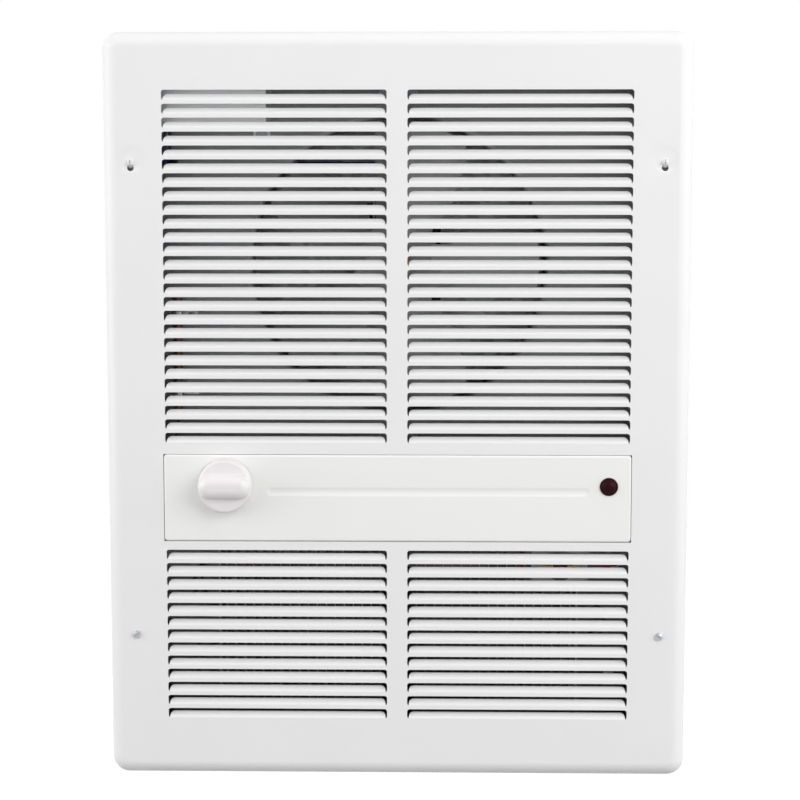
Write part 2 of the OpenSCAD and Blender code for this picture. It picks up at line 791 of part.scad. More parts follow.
// Narrow at the spider, wide at the tip, with eased corners
blade_outline = let (root = hub_disc_r - 8, neck = blade_w / 3, half = blade_w / 2, ease = 9) [
    [root, -neck], [hub_disc_r + 6, -neck], [hub_disc_r + 14, -half], [fan_r - ease - 6, -half],
    [fan_r - 8, -half + 2], [fan_r + 4, -half + ease], [fan_r + 4, half - ease], [fan_r - 8, half - 2],
    [fan_r - ease - 6, half], [hub_disc_r + 14, half], [hub_disc_r + 6, neck], [root, neck]];

module fan_hub() {
    color("goldenrod") translate([0, 0, fan_z]) difference() {
        union() {
            rod_y(hub_r, hub_disc_y - 9, hub_disc_y);
            rod_y(hub_r - 3, hub_disc_y - 1, hub_disc_y + blade_sheet + 4);
            rod_y(hub_r - 0.5, hub_disc_y + blade_sheet, hub_disc_y + blade_sheet + 1);
        }
        rod_y(shaft_r + 0.02, hub_disc_y - 10, hub_disc_y + 10);
        translate([0, hub_disc_y - 5, 0]) rod_z(2 + fit, 0, hub_r + 1);
    }
}

module hub_set_screw() {
    color("dimgray") translate([0, hub_disc_y - 5, fan_z]) difference() {
        rod_z(2, shaft_r + 0.02, hub_r - 0.5);
        translate([0, 0, hub_r - 2.5]) cylinder(r = 1.15, h = 3, $fn = 6);
    }
}

module motor_shaft() {
    color("silver") translate([0, 0, fan_z]) rod_y(shaft_r, shaft_front, shaft_back);
}

// Rotor: laminated core with a cast ring at each end
module motor_rotor() {
    color("slategray") translate([0, 0, fan_z]) difference() {
        union() {
            rod_y(rotor_r, stack_y, stack_back);
            rod_y(rotor_r - 1.5, stack_y - 2, stack_back + 2);
        }
        rod_y(shaft_r + 0.01, stack_y - 5, stack_back + 5);
        for (y = [stack_y - 3, stack_back + 0.2]) rod_y(rotor_r - 6, y, y + 2.8);
    }
}

// Iron stack: poles around the rotor and a leg above for the coil
module motor_stator() {
    color("dimgray") translate([0, 0, fan_z]) along_y(stack_y, stack_back) difference() {
        translate([-stack_half, -stack_low]) square([2 * stack_half, stack_low + leg_high]);
        circle(rotor_r + air_gap);
        translate([-window_half, window_low]) square([2 * window_half, leg_low - window_low]);
        for (s = [-1, 1]) translate([s * motor_bolt_x, 0]) circle(motor_bolt_r + 0.1);
        translate([-0.8, rotor_r]) square([1.6, 5]);
    }
}

// Bobbin with a flange at each end, around the leg
module motor_bobbin() {
    wall = 1;
    color("beige") translate([0, 0, fan_z]) difference() {
        union() {
            for (s = [-1, 1]) along_x(s > 0 ? window_half - wall - 0.3 : -window_half + 0.3,
                s > 0 ? window_half - 0.3 : -window_half + wall + 0.3)
                coil_ring(coil_t);
            along_x(-window_half + 0.3, window_half - 0.3) coil_ring(wall + 0.1);
        }
        block(-window_half, window_half, stack_y - 0.1, stack_back + 0.1, leg_low - 0.1, leg_high + 0.1);
    }
}

// Rectangle in Y and Z around the leg, larger than it by t on every side
module coil_ring(t) {
    translate([(stack_y + stack_back) / 2, (leg_low + leg_high) / 2])
        rounded_rect(stack_t + 2 * t, leg_high - leg_low + 2 * t, min(t, 4));
}

module motor_coil() {
    color("darkorange") translate([0, 0, fan_z]) difference() {
        along_x(-window_half + 1.35, window_half - 1.35) coil_ring(coil_t - 0.8);
        along_x(-window_half, window_half) coil_ring(1.15);
    }
}

// Cast bearing bracket: a bar across the stack with a central boss and two legs, which start at leg_y
module motor_bracket(y, leg_y) {
    difference() {
        union() {
            block(-stack_half + 1, stack_half - 1, y, y + bracket_t, -7, 7);
            rod_y(bearing_r + 4, y, y + bracket_t);
            both_sides() translate([motor_bolt_x, 0, 0]) rod_y(4, leg_y, leg_y + bracket_t + bracket_leg);
        }
        rod_y(bearing_r + 0.02, y - 1, y + bracket_t + 1);
        for (s = [-1, 1]) translate([s * motor_bolt_x, 0, 0])
            rod_y(motor_bolt_r + 0.1, y - bracket_leg - 1, y + bracket_t + bracket_leg + 1);
    }
}

module motor_front_bracket() {
    color("darkgray") translate([0, 0, fan_z]) motor_bracket(bracket_y, bracket_y);
}

module motor_rear_bracket() {
    color("darkgray") translate([0, 0, fan_z]) motor_bracket(rear_bracket_y, rear_bracket_y - bracket_leg);
}

module motor_bearings() {
    color("peru") translate([0, 0, fan_z]) for (y = [bracket_y, rear_bracket_y]) difference() {
        rod_y(bearing_r, y, y + bracket_t);
        rod_y(shaft_r + 0.03, y - 1, y + bracket_t + 1);
    }
}

module motor_bolts() {
    color("silver") translate([0, 0, fan_z]) for (s = [-1, 1]) translate([s * motor_bolt_x, 0, 0]) {
        rod_y(motor_bolt_r, strap_y - 6, rear_bracket_y + bracket_t);
        translate([0, rear_bracket_y + bracket_t, 0]) rotate([-90, 0, 0]) cylinder(r = 3.8, h = 2.6, $fn = 6);
    }
}

module motor_nuts() {
    color("silver") translate([0, 0, fan_z]) for (s = [-1, 1]) translate([s * motor_bolt_x, strap_y - 4.6, 0])
        difference() {
            rotate([-90, 0, 0]) cylinder(r = 3.9, h = 3, $fn = 6);
            rod_y(motor_bolt_r + fit, -1, 5);
        }
}

// Strap across the orifice, behind the fan, with a foot at each end
module motor_strap() {
    y1 = strap_y + strap_t;
    color("silver") translate([0, 0, fan_z]) difference() {
        union() {
            block(-strap_w / 2, strap_w / 2, strap_y, y1, -strap_foot, strap_foot);
            block(-motor_bolt_x - 8, motor_bolt_x + 8, strap_y, y1, -12, 12);
            for (s = [-1, 1]) mirror([0, 0, s > 0 ? 0 : 1]) {
                block(-strap_w / 2, strap_w / 2, plate_back, y1, strap_foot - strap_t, strap_foot);
                block(-strap_w / 2, strap_w / 2, plate_back, plate_back + strap_t, strap_foot - strap_t,
                    strap_foot + 14);
            }
        }
        rod_y(bearing_r + 4, strap_y - 1, y1 + 1);
        both_sides() translate([motor_bolt_x, 0, 0]) rod_y(grommet_neck_r + fit, strap_y - 1, y1 + 1);
        for (p = strap_screws_at) translate(p) rod_y(screw_shank_r + fit, plate_back - 1, y1);
    }
}

module motor_grommets() {
    color("black") translate([0, 0, fan_z]) both_sides() translate([motor_bolt_x, 0, 0]) difference() {
        union() {
            rod_y(grommet_r, strap_y - 1.6, strap_y);
            rod_y(grommet_neck_r, strap_y - 1, bracket_y);
            rod_y(grommet_r, strap_y + strap_t, bracket_y);
        }
        rod_y(motor_bolt_r + fit, strap_y - 3, bracket_y + 1);
    }
}

module strap_screws() {
    color("gray") for (p = strap_screws_at)
        translate([0, fan_plate_y, fan_z] + p) hex_screw_y(box_sheet + strap_t + 4);
}

// ---------- heating element and air path ----------

// One sheath through four passes, with a half-turn bend between them
module element_tube() {
    straight = pass_l / 2 - bend_r;
    color("dimgray") translate([0, element_y, 0]) {
        for (i = [0:element_passes - 1]) translate([0, 0, pass_z[i]])
            rod_x(sheath_r, -straight, i == 0 || i == element_passes - 1 ? insulator_x : straight);
        for (i = [0:element_passes - 2])
            element_bend(i % 2 == 0 ? -1 : 1, straight, (pass_z[i] + pass_z[i + 1]) / 2);
    }
}

module element_bend(side, straight, z) {
    translate([side * straight, 0, z]) mirror([side > 0 ? 0 : 1, 0, 0]) rotate([90, 0, 0])
        rotate([0, 0, -90]) rotate_extrude(angle = 180) translate([bend_r, 0]) circle(sheath_r);
}

// Thin plate fins pressed over all four passes
module element_fins() {
    color("gray") for (i = [0:fin_count - 1]) translate([(i - (fin_count - 1) / 2) * fin_pitch, element_y, 0])
        along_x(-fin_t / 2, fin_t / 2) difference() {
            translate([-fin_w / 2, fin_top - fin_h]) square([fin_w, fin_h]);
            for (z = pass_z) translate([0, z]) circle(sheath_r + 0.02);
        }
}

module element_insulators() {
    color("white") for (z = end_pass_z) translate([0, element_y, z]) difference() {
        union() {
            rod_x(sheath_r + 1.5, insulator_x - 3, insulator_x + 4);
            rod_x(sheath_r - 0.6, insulator_x + 3, insulator_x + 7);
        }
        rod_x(sheath_r + 0.02, insulator_x - 4, insulator_x);
        rod_x(terminal_pin_r + fit, insulator_x - 1, insulator_x + 8);
    }
}

module element_terminals() {
    color("silver") for (z = end_pass_z) translate([0, element_y, z]) {
        rod_x(terminal_pin_r, insulator_x, terminal_x);
        block(terminal_x - 0.1, terminal_x + 8, -3.2, 3.2, -0.4, 0.4);
    }
}

// End plates: they hold the passes and stand on the deflector with a foot
module element_brackets() {
    front = element_y - fin_w / 2 - 3;
    back = element_y + fin_w / 2 + 3;
    top = fin_top + 3;
    color("silver") difference() {
        both_sides() {
            along_x(element_bracket_x - box_sheet / 2, element_bracket_x + box_sheet / 2) difference() {
                translate([front, deflector_z]) square([back - front, top - deflector_z]);
                deflector_corner(close_gap);
            }
            block(element_bracket_x - 12, element_bracket_x, front, deflector_flat, deflector_z,
                deflector_z + box_sheet);
        }
        for (z = pass_z) translate([0, element_y, z])
            rod_x(sheath_r + 0.1, -element_bracket_x - 5, element_bracket_x + 5);
        element_screw_holes();
    }
}

// What lies outside the deflector's bend, plus a gap: Y against Z
module deflector_corner(gap) {
    inner = deflector_bend - box_sheet;
    translate([deflector_flat, deflector_z + inner]) difference() {
        translate([0, -inner - 5]) square([inner + 5, inner + 5]);
        circle(inner - gap);
    }
}

module element_screw_holes() {
    both_sides() translate([element_bracket_x - 7, element_screw_y, deflector_z])
        rod_z(screw_shank_r + fit, -3, 3);
}

// Curved sheet that turns the air from the fan forwards through the element
module air_deflector() {
    t = box_sheet;
    foot_z = -in_z + close_gap;
    color("silver") difference() {
        along_x(-deflector_half, deflector_half) {
            translate([deflector_flat, deflector_z + deflector_bend - t]) intersection() {
                difference() {
                    circle(deflector_bend);
                    circle(deflector_bend - t);
                }
                translate([0, -deflector_bend - 1]) square([deflector_bend + 1, deflector_bend + 1]);
            }
            translate([deflector_front, deflector_z - t]) square([deflector_flat - deflector_front, t]);
            translate([deflector_front, foot_z]) square([t, deflector_z - foot_z]);
            translate([0, foot_z]) square([deflector_front + t, t]);
            translate([deflector_back - t, deflector_z + deflector_bend - t]) square([t, deflector_rise]);
            translate([deflector_back - t, deflector_z + deflector_bend + deflector_rise - t - 1])
                square([in_y - close_gap - deflector_back + t, t]);
        }
        element_screw_holes();
        for (x = [-1, 1]) translate([x * deflector_screw_x, deflector_screw_y, foot_z])
            rod_z(screw_shank_r + fit, -1, 3);
    }
}

// Screws that hold the deflector in the box and the element's end plates on the deflector
module deflector_screws() {
    foot_top = -in_z + close_gap + box_sheet;
    places = [[deflector_screw_x, deflector_screw_y, foot_top],
        [element_bracket_x - 7, element_screw_y, deflector_z + box_sheet]];
    color("gray") both_sides() for (p = places) translate(p) rotate([0, 90, 0]) screw_x(box_sheet * 2 + 2);
}

// ---------- thermostat, knob and lamp ----------

module thermostat_body() {
    tx = thermostat_half_x;
    color("dimgray") translate([knob_x, 0, knob_z]) difference() {
        union() {
            along_y(4, thermostat_d) rounded_rect(2 * tx, 2 * thermostat_half_z, 2);
            along_y(0, 4.5) rounded_rect(2 * tx - 6, 2 * thermostat_half_z - 6, 2);
            rod_y(bushing_r, bushing_front, 1);
        }
        rod_y(dial_shaft_r + fit, bushing_front - 1, 6);
        for (s = [-1, 1]) block(s * 12 - 3.4, s * 12 + 3.4, thermostat_d - 3, thermostat_d + 1, -0.5, 0.5);
    }
}

module thermostat_terminals() {
    color("goldenrod") translate([knob_x, 0, knob_z]) for (s = [-1, 1])
        block(s * 12 - 3.2, s * 12 + 3.2, thermostat_d - 2.8, thermostat_d + 4, -0.4, 0.4);
}

module thermostat_nut() {
    color("silver") translate([knob_x, 0, knob_z]) difference() {
        translate([0, web_y - 2.4, 0]) rotate([-90, 0, 0]) cylinder(r = 7.4, h = 2.4, $fn = 6);
        rod_y(bushing_r + fit, web_y - 4, web_y + 1);
    }
}

// Dial shaft with a flat for the knob
module thermostat_shaft() {
    color("silver") translate([knob_x, 0, knob_z]) difference() {
        rod_y(dial_shaft_r, knob_front + 4, 5.8);
        block(-dial_shaft_r - 1, dial_shaft_r + 1, knob_front, knob_back + 0.5, dial_flat, dial_shaft_r + 1);
    }
}

// Round knob: a disc with a level grip bar across its front; hollow behind, with a boss for the shaft.
// The bar has round ends that reach the disc's edge.
module thermostat_knob() {
    wall = 1.8;
    disc_front = knob_front + grip_rise;
    grip_x = knob_r - 0.3 - grip_half;
    color("snow") translate([knob_x, 0, knob_z]) difference() {
        union() {
            turned_y() knob_section(knob_r, disc_front, 2);
            along_x(-grip_x, grip_x) grip_section(disc_front);
            both_sides() translate([grip_x, 0, 0]) turned_y() grip_end_section(disc_front);
        }
        difference() {
            rod_y(knob_r - wall, knob_back - 2.4, knob_back + 1);
            rod_y(dial_shaft_r + 3, knob_back - 3, knob_back + 2);
        }
        difference() {
            rod_y(dial_shaft_r + 0.04, knob_front + 3.9, knob_back + 1);
            block(-dial_shaft_r - 1, dial_shaft_r + 1, knob_front, knob_back + 0.4, dial_flat + 0.04,
                dial_shaft_r + 2);
        }
    }
}

// Half section of a turned form with a rounded front edge
module knob_section(r, front, round_r) {
    translate([0, front]) square([r - round_r, knob_back - front]);
    translate([0, front + round_r]) square([r, knob_back - front - round_r]);
    translate([r - round_r, front + round_r]) circle(round_r);
}

// Grip bar in Y and Z: a narrow flat front between two round flanks
module grip_section(foot) {
    flat = grip_half - grip_rise;
    translate([knob_front, -flat]) square([grip_rise + 1, 2 * flat]);
    translate([foot, -grip_half]) square([2, 2 * grip_half]);
    for (s = [-1, 1]) translate([foot, s * flat]) circle(grip_rise);
}

// Half section of its round ends: radius against Y
module grip_end_section(foot) {
    flat = grip_half - grip_rise;
    translate([0, knob_front]) square([flat, grip_rise + 1]);
    translate([0, foot]) square([grip_half, 2]);
    intersection() {
        translate([flat, foot]) circle(grip_rise);
        translate([0, knob_front]) square([grip_half, grip_rise + 1]);
    }
}

// Sensing bulb in the intake air, with a short neck
module sensing_bulb() {
    color("peru") translate([bulb_x, bulb_y, 0]) {
        rod_z(bulb_r, bulb_z, bulb_z + bulb_l);
        rod_z(bulb_r / 2, bulb_z - bulb_neck, bulb_z + 1);
    }
}

// Fine tube from the thermostat to the bulb's neck
module capillary_tube() {
    side = knob_x - thermostat_half_x - fit;
    color("peru") swept(route([[side, 20, knob_z + 4], [bulb_x, 20, knob_z + 4],
        [bulb_x, wire_y + 2, knob_z + 14], [bulb_x, wire_y + 2, channel_top + 8],
        [bulb_x, bulb_y, bulb_z - bulb_neck - 8], [bulb_x, bulb_y, bulb_z - bulb_neck - 0.02]], 3.4),
        capillary_r);
}

// Clip around the bulb, with an ear on the fan plate
module bulb_clips() {
    color("silver") for (p = clip_places) translate([bulb_x, 0, p[2]]) difference() {
        union() {
            translate([0, bulb_y, 0]) rod_z(bulb_r + 0.9, -4, 4);
            block(-bulb_r - 0.9, bulb_r + 0.9, bulb_y, fan_plate_y, -4, 4);
            block(0, 14, fan_plate_y - 0.9, fan_plate_y, -4, 4);
        }
        translate([0, bulb_y, 0]) rod_z(bulb_r + 0.02, -5, 5);
        block(-bulb_r, bulb_r, bulb_y, fan_plate_y - 0.9, -5, 5);
        translate([p[0] - bulb_x, 0, 0]) rod_y(screw_shank_r + fit, fan_plate_y - 2, fan_plate_y + 1);
    }
    color("gray") for (p = clip_places) translate([p[0], fan_plate_y - 0.9, p[2]])
        screw_y(screw_shank_r, box_sheet + 2, screw_head_r - 0.4, 1.6, 20);
}

// Red lens: a rim on the plate and a low dome
module pilot_lamp_lens() {
    dome_r = (lamp_body_r * lamp_body_r + lamp_dome * lamp_dome) / (2 * lamp_dome);
    color("darkred") translate([lamp_x, 0, lamp_z]) {
        rod_y(lamp_r, plate_y - 0.9, plate_y);
        intersection() {
            rod_y(lamp_body_r, plate_y - 0.9 - lamp_dome, plate_y - 0.5);
            translate([0, plate_y - 0.9 - lamp_dome + dome_r, 0]) sphere(dome_r);
        }
        rod_y(lamp_body_r - 1.2, plate_y - 0.5, plate_y + 3);
    }
}

module pilot_lamp_body() {
    color("black") translate([lamp_x, 0, lamp_z]) {
        difference() {
            rod_y(lamp_body_r, plate_y, lamp_body_back);
            rod_y(lamp_body_r - 1.2 + fit, plate_y - 1, plate_y + 3 + fit);
        }
        for (s = [-1, 1]) block(s * 2.6 - 0.4, s * 2.6 + 0.4, lamp_body_back - 0.5,
            lamp_body_back + lamp_tab_l, -1.4, 1.4);
    }
}

// Push-on ring that grips the lamp behind the plate
module lamp_retainer() {
    color("silver") translate([lamp_x, 0, lamp_z]) difference() {
        rod_y(lamp_body_r + 2.6, plate_y + plate_sheet, plate_y + plate_sheet + 0.8);
        rod_y(lamp_body_r + fit, plate_y, plate_y + 4);
        for (a = [0:60:300]) rotate([0, a, 0])
            block(-0.5, 0.5, plate_y, plate_y + 4, lamp_body_r - 1, lamp_body_r + 1.4);
    }
}

// ---------- resettable limit ----------

module limit_bracket() {
    half = 20;
    plate_back_y = limit_plate_y + box_sheet;
    shelf_low = channel_bottom - box_sheet;
    color("silver") difference() {
        union() {
            block(limit_x - half, limit_x + half, limit_plate_y, plate_back_y, limit_z - 12, channel_bottom);
            block(limit_x - half, limit_x + half, limit_plate_y, 32, shelf_low, channel_bottom);
        }
        translate([limit_x, 0, limit_z]) rod_y(limit_body_r - 2, limit_plate_y - 1, limit_plate_y + 3);
        limit_screw_holes();
    }
}

module limit_body() {
    chamber_back = limit_plate_y - 1.5;
    color("black") translate([limit_x, 0, limit_z]) difference() {
        union() {
            rod_y(limit_body_r, limit_front, limit_plate_y);
            rod_y(reset_r + 1.1, limit_front - 1, limit_front + 1);
        }
        rod_y(reset_r + fit, limit_front - 2, chamber_back);
        rod_y(reset_r + 1, reset_collar_y - 0.1, chamber_back);
        both_sides() block(limit_tab_x - 2, limit_tab_x + 2, limit_front - 1, limit_front + 2, -0.5, 0.5);
    }
}

// Metal cap that faces the element, through the bracket
module limit_cap() {
    color("silver") translate([limit_x, 0, limit_z])
        rod_y(limit_body_r - 2.1, limit_plate_y, limit_plate_y + 4.4);
}

// Two tabs, each bent outwards in front of the body
module limit_terminals() {
    tab_t = 0.8;
    color("goldenrod") translate([limit_x, 0, limit_z]) both_sides() {
        block(limit_tab_x - 1.9, limit_tab_x + 1.9, limit_front - tab_t, limit_front + 1.9,
            -tab_t / 2, tab_t / 2);
        block(limit_tab_x - 1.9, 2 * limit_tab_x, limit_front - 2 * tab_t, limit_front - tab_t, -2.4, 2.4);
    }
}

// Reset button: it goes in against its spring and is kept by a collar
module reset_button() {
    color("red") translate([limit_x, 0, limit_z]) {
        rod_y(reset_r, reset_front, reset_collar_y + 1.5);
        rod_y(reset_r + 0.8, reset_collar_y, reset_collar_y + 1);
    }
}

// ---------- wiring compartment ----------

// Bright cover, open at the back and the top, where the box closes it
module junction_cover() {
    t = cover_sheet;
    high = in_z - close_gap;
    color("gainsboro") difference() {
        union() {
            block(junction_left, junction_right, junction_front, fan_plate_y, junction_low, high);
            for (x = [junction_left, junction_right - 12])
                block(x, x + 12, fan_plate_y - t, fan_plate_y, junction_low - 10, junction_low + 1);
        }
        block(junction_left + t, junction_right - t, junction_front + t, fan_plate_y + 1,
            junction_low + t, high + 1);
        for (p = junction_ears) translate([p[0], 0, p[1]])
            rod_y(screw_shank_r + fit, fan_plate_y - 3, fan_plate_y + 1);
        translate([junction_wire_x, wire_y, junction_low]) rod_z(wire_hole_r, -2, 3);
        block(lead_x - 4, lead_x + 4, lead_y - 3, fan_plate_y + 1, junction_low - 1, junction_low + 3);
    }
}

module junction_screws() {
    color("gray") for (p = junction_ears) translate([p[0], fan_plate_y - cover_sheet, p[1]])
        hex_screw_y(box_sheet + 3);
}

// Three-pole terminal block on the fan plate
module terminal_block() {
    low = block_z - block_half_z;
    high = block_z + block_half_z;
    rib_t = 1.4;
    rib_step = (2 * block_half_x - rib_t - 2) / 3;
    color("white") translate([block_x, 0, 0]) difference() {
        union() {
            block(-block_half_x, block_half_x, block_front, fan_plate_y, low, high);
            for (i = [0:3]) translate([i * rib_step - block_half_x + 1, 0, 0])
                block(0, rib_t, block_front - 5, block_front + 1, low, high);
        }
        for (p = block_screws) translate([p[0] - block_x, 0, p[2]])
            rod_y(block_screw_r + fit, block_front - 1, block_front + 10);
    }
}

module terminal_screws() {
    color("goldenrod") for (p = block_screws) translate(p) screw_y(block_screw_r, 8, 3, 1.8, 30);
}

module ground_screw() {
    color("green") translate([ground_at[0], fan_plate_y, ground_at[1]])
        screw_y(screw_shank_r, box_sheet + 4, screw_head_r + 0.8, screw_head_t, 70);
}

// ---------- wiring ----------

// One wire to the thermostat, one through the channel to the element's lower terminal
module supply_wires() {
    low = block_z - block_half_z - fit;
    end_z = pass_z[element_passes - 1];
    along_z = (channel_top - box_sheet + knob_z + thermostat_half_z) / 2;
    front_y = wire_y - 3;
    blade_y = thermostat_d + 5.6;
    color("black") {
        swept(route([[block_x - block_pole, feed_y, low], [block_x - block_pole, feed_y, low - 4],
            [junction_wire_x - 4, feed_y - 4, low - 4], [junction_wire_x - 4, wire_y + 2, junction_low + 2],
            [junction_wire_x - 4, wire_y + 2, junction_low - 14],
            [left_wire_x - 2, wire_y + 2, junction_low - 26],
            [left_wire_x - 2, wire_y + 2, knob_z + 8], [left_wire_x + 4, blade_y, knob_z],
            [knob_x - 12, blade_y, knob_z], [knob_x - 12, thermostat_d + 4.05, knob_z]], 1.5), wire_r);
        swept(route([[block_x, feed_y, low], [block_x, feed_y, low - 7.6],
            [junction_wire_x, feed_y - 6, low - 7.6],
            [junction_wire_x + 1, front_y, junction_low + 1], [junction_wire_x, front_y, junction_low - 14],
            [left_wire_x + 1.5, front_y, junction_low - 26], [left_wire_x + 1.5, front_y, along_z],
            [right_wire_x, front_y, along_z], [right_wire_x, front_y, channel_bottom - 8],
            [right_wire_x, 8, end_z - 8], [terminal_x + 3, element_y, end_z - 8],
            [terminal_x + 3, element_y, end_z - 0.45]], 2), wire_r);
    }
}

// Thermostat to limit, and limit to the element's upper terminal
module element_wires() {
    low = knob_z - 24;
    blade_y = thermostat_d + 5.6;
    tab_y = limit_front - 1.2;
    tab_x = 2 * limit_tab_x + fit;
    color("firebrick") {
        swept(route([[knob_x + 12, thermostat_d + 4.05, knob_z], [knob_x + 12, blade_y, knob_z],
            [knob_x + 16, blade_y, low], [limit_wire_x, blade_y, low], [limit_wire_x, wire_y, low - 4],
            [limit_wire_x, wire_y, channel_bottom - 6], [limit_wire_x, tab_y, limit_z],
            [limit_x - tab_x, tab_y, limit_z]], 1.4), wire_r);
        swept(route([[limit_x + tab_x, tab_y, limit_z], [limit_x + 24, tab_y, limit_z],
            [terminal_x + 3, 10, pass_z[0] + 8], [terminal_x + 3, element_y, pass_z[0] + 8],
            [terminal_x + 3, element_y, pass_z[0] + 0.45]], 3), wire_r);
    }
}

// Two leads from the coil, through the fan plate and up to the terminal block
module motor_leads() {
    low = block_z - block_half_z - fit;
    coil_back = stack_back + coil_t - 0.75;
    run_y = coil_back + 3;
    color("blue") for (i = [-1, 1]) {
        z = fan_z + leg_high + 1.5 * i;
        x = lead_x + 2 * i;
        end_x = block_x + block_pole + 2 * i;
        swept(route([[5 * i, coil_back, z], [5 * i, run_y, z], [5 * i, run_y, lead_z + 2 * i],
            [x, run_y, lead_z + 2 * i], [x, lead_y, lead_z + 2 * i], [x, lead_y, low - 7 - 2 * i],
            [end_x, lead_y, low - 7 - 2 * i], [end_x, lead_y, low]], 1.8), lead_r);
    }
}

// Two leads from the lamp to the thermostat's blade
module lamp_leads() {
    lead_end_y = thermostat_d + 2.3;
    lamp_back = lamp_body_back + lamp_tab_l + fit;
    color("gray") for (i = [-1, 1]) {
        y = lead_end_y + 0.6 * i;
        x = knob_x + 12 - 1.6 * i;
        z = knob_z + 10 + 2 * i;
        swept(route([[lamp_x + 2.6 * i, lamp_back, lamp_z], [lamp_x + 2.6 * i, lamp_back + 3, lamp_z],
            [lamp_x - 10, y, z], [x, y, z], [x, y, knob_z + 0.45]], 1.6), 0.7);
    }
}

// ---------- output ----------

box_back();
box_sides();
box_ends();
sheet_screws();
panel_standoffs();
front_panel();
upper_panel_screws();
lower_panel_screws();
control_plate();
plate_nuts();
control_channel();
fan_plate();
fan_blade();
fan_hub();
hub_set_screw();
motor_shaft();
motor_rotor();
motor_stator();
motor_bobbin();
motor_coil();
motor_front_bracket();
motor_rear_bracket();
motor_bearings();
motor_bolts();
motor_nuts();
motor_strap();
motor_grommets();
strap_screws();
element_tube();
element_fins();
element_insulators();
element_terminals();
element_brackets();
air_deflector();
deflector_screws();
thermostat_body();
thermostat_terminals();
thermostat_nut();
thermostat_shaft();
thermostat_knob();
sensing_bulb();
capillary_tube();
bulb_clips();
pilot_lamp_lens();
pilot_lamp_body();
lamp_retainer();
limit_bracket();
limit_body();
limit_cap();
limit_terminals();
reset_button();
junction_cover();
junction_screws();
terminal_block();
terminal_screws();
ground_screw();
supply_wires();
element_wires();
motor_leads();
lamp_leads();
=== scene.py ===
"""Recessed fan-forced wall heater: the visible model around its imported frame, in metres.

+X is to the right seen from the room, +Y goes into the wall and +Z is up, as in the frame.
"""
import json
import math

import bpy
import numpy as np
from bpy.props import FloatProperty, FloatVectorProperty, IntProperty, PointerProperty, StringProperty
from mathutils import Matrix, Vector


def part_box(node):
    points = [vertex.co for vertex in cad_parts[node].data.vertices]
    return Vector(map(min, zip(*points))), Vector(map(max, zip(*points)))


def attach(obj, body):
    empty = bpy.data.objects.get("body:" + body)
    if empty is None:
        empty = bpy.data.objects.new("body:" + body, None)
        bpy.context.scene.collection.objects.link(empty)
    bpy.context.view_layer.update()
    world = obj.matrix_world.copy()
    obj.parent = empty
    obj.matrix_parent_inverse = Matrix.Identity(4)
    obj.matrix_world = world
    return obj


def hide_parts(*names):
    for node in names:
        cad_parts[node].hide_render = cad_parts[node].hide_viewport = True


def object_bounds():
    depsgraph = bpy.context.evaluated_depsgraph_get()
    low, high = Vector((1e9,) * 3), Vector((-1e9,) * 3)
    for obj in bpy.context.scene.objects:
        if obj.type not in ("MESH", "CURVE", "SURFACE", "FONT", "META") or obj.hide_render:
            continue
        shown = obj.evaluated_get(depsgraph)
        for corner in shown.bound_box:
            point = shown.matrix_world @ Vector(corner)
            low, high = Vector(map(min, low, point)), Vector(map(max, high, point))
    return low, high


bl_info = {
    "name": "Recessed wall heater",
    "version": (1, 0, 0),
    "blender": (4, 5, 0),
    "location": "3D View > Sidebar > Heater",
    "description": "Builds a recessed fan-forced wall heater around its frame",
    "category": "Add Mesh",
}

MM = 0.001

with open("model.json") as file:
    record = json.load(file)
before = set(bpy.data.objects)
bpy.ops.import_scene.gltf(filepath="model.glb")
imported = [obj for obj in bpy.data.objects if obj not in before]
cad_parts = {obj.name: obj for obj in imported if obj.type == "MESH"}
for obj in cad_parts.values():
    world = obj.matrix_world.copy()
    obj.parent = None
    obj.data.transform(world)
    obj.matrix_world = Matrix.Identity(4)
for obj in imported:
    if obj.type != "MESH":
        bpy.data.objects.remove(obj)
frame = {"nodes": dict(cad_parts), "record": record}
cad_box = [list(corner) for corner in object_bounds()]
nodes = frame["nodes"]


# ---------- finishes ----------

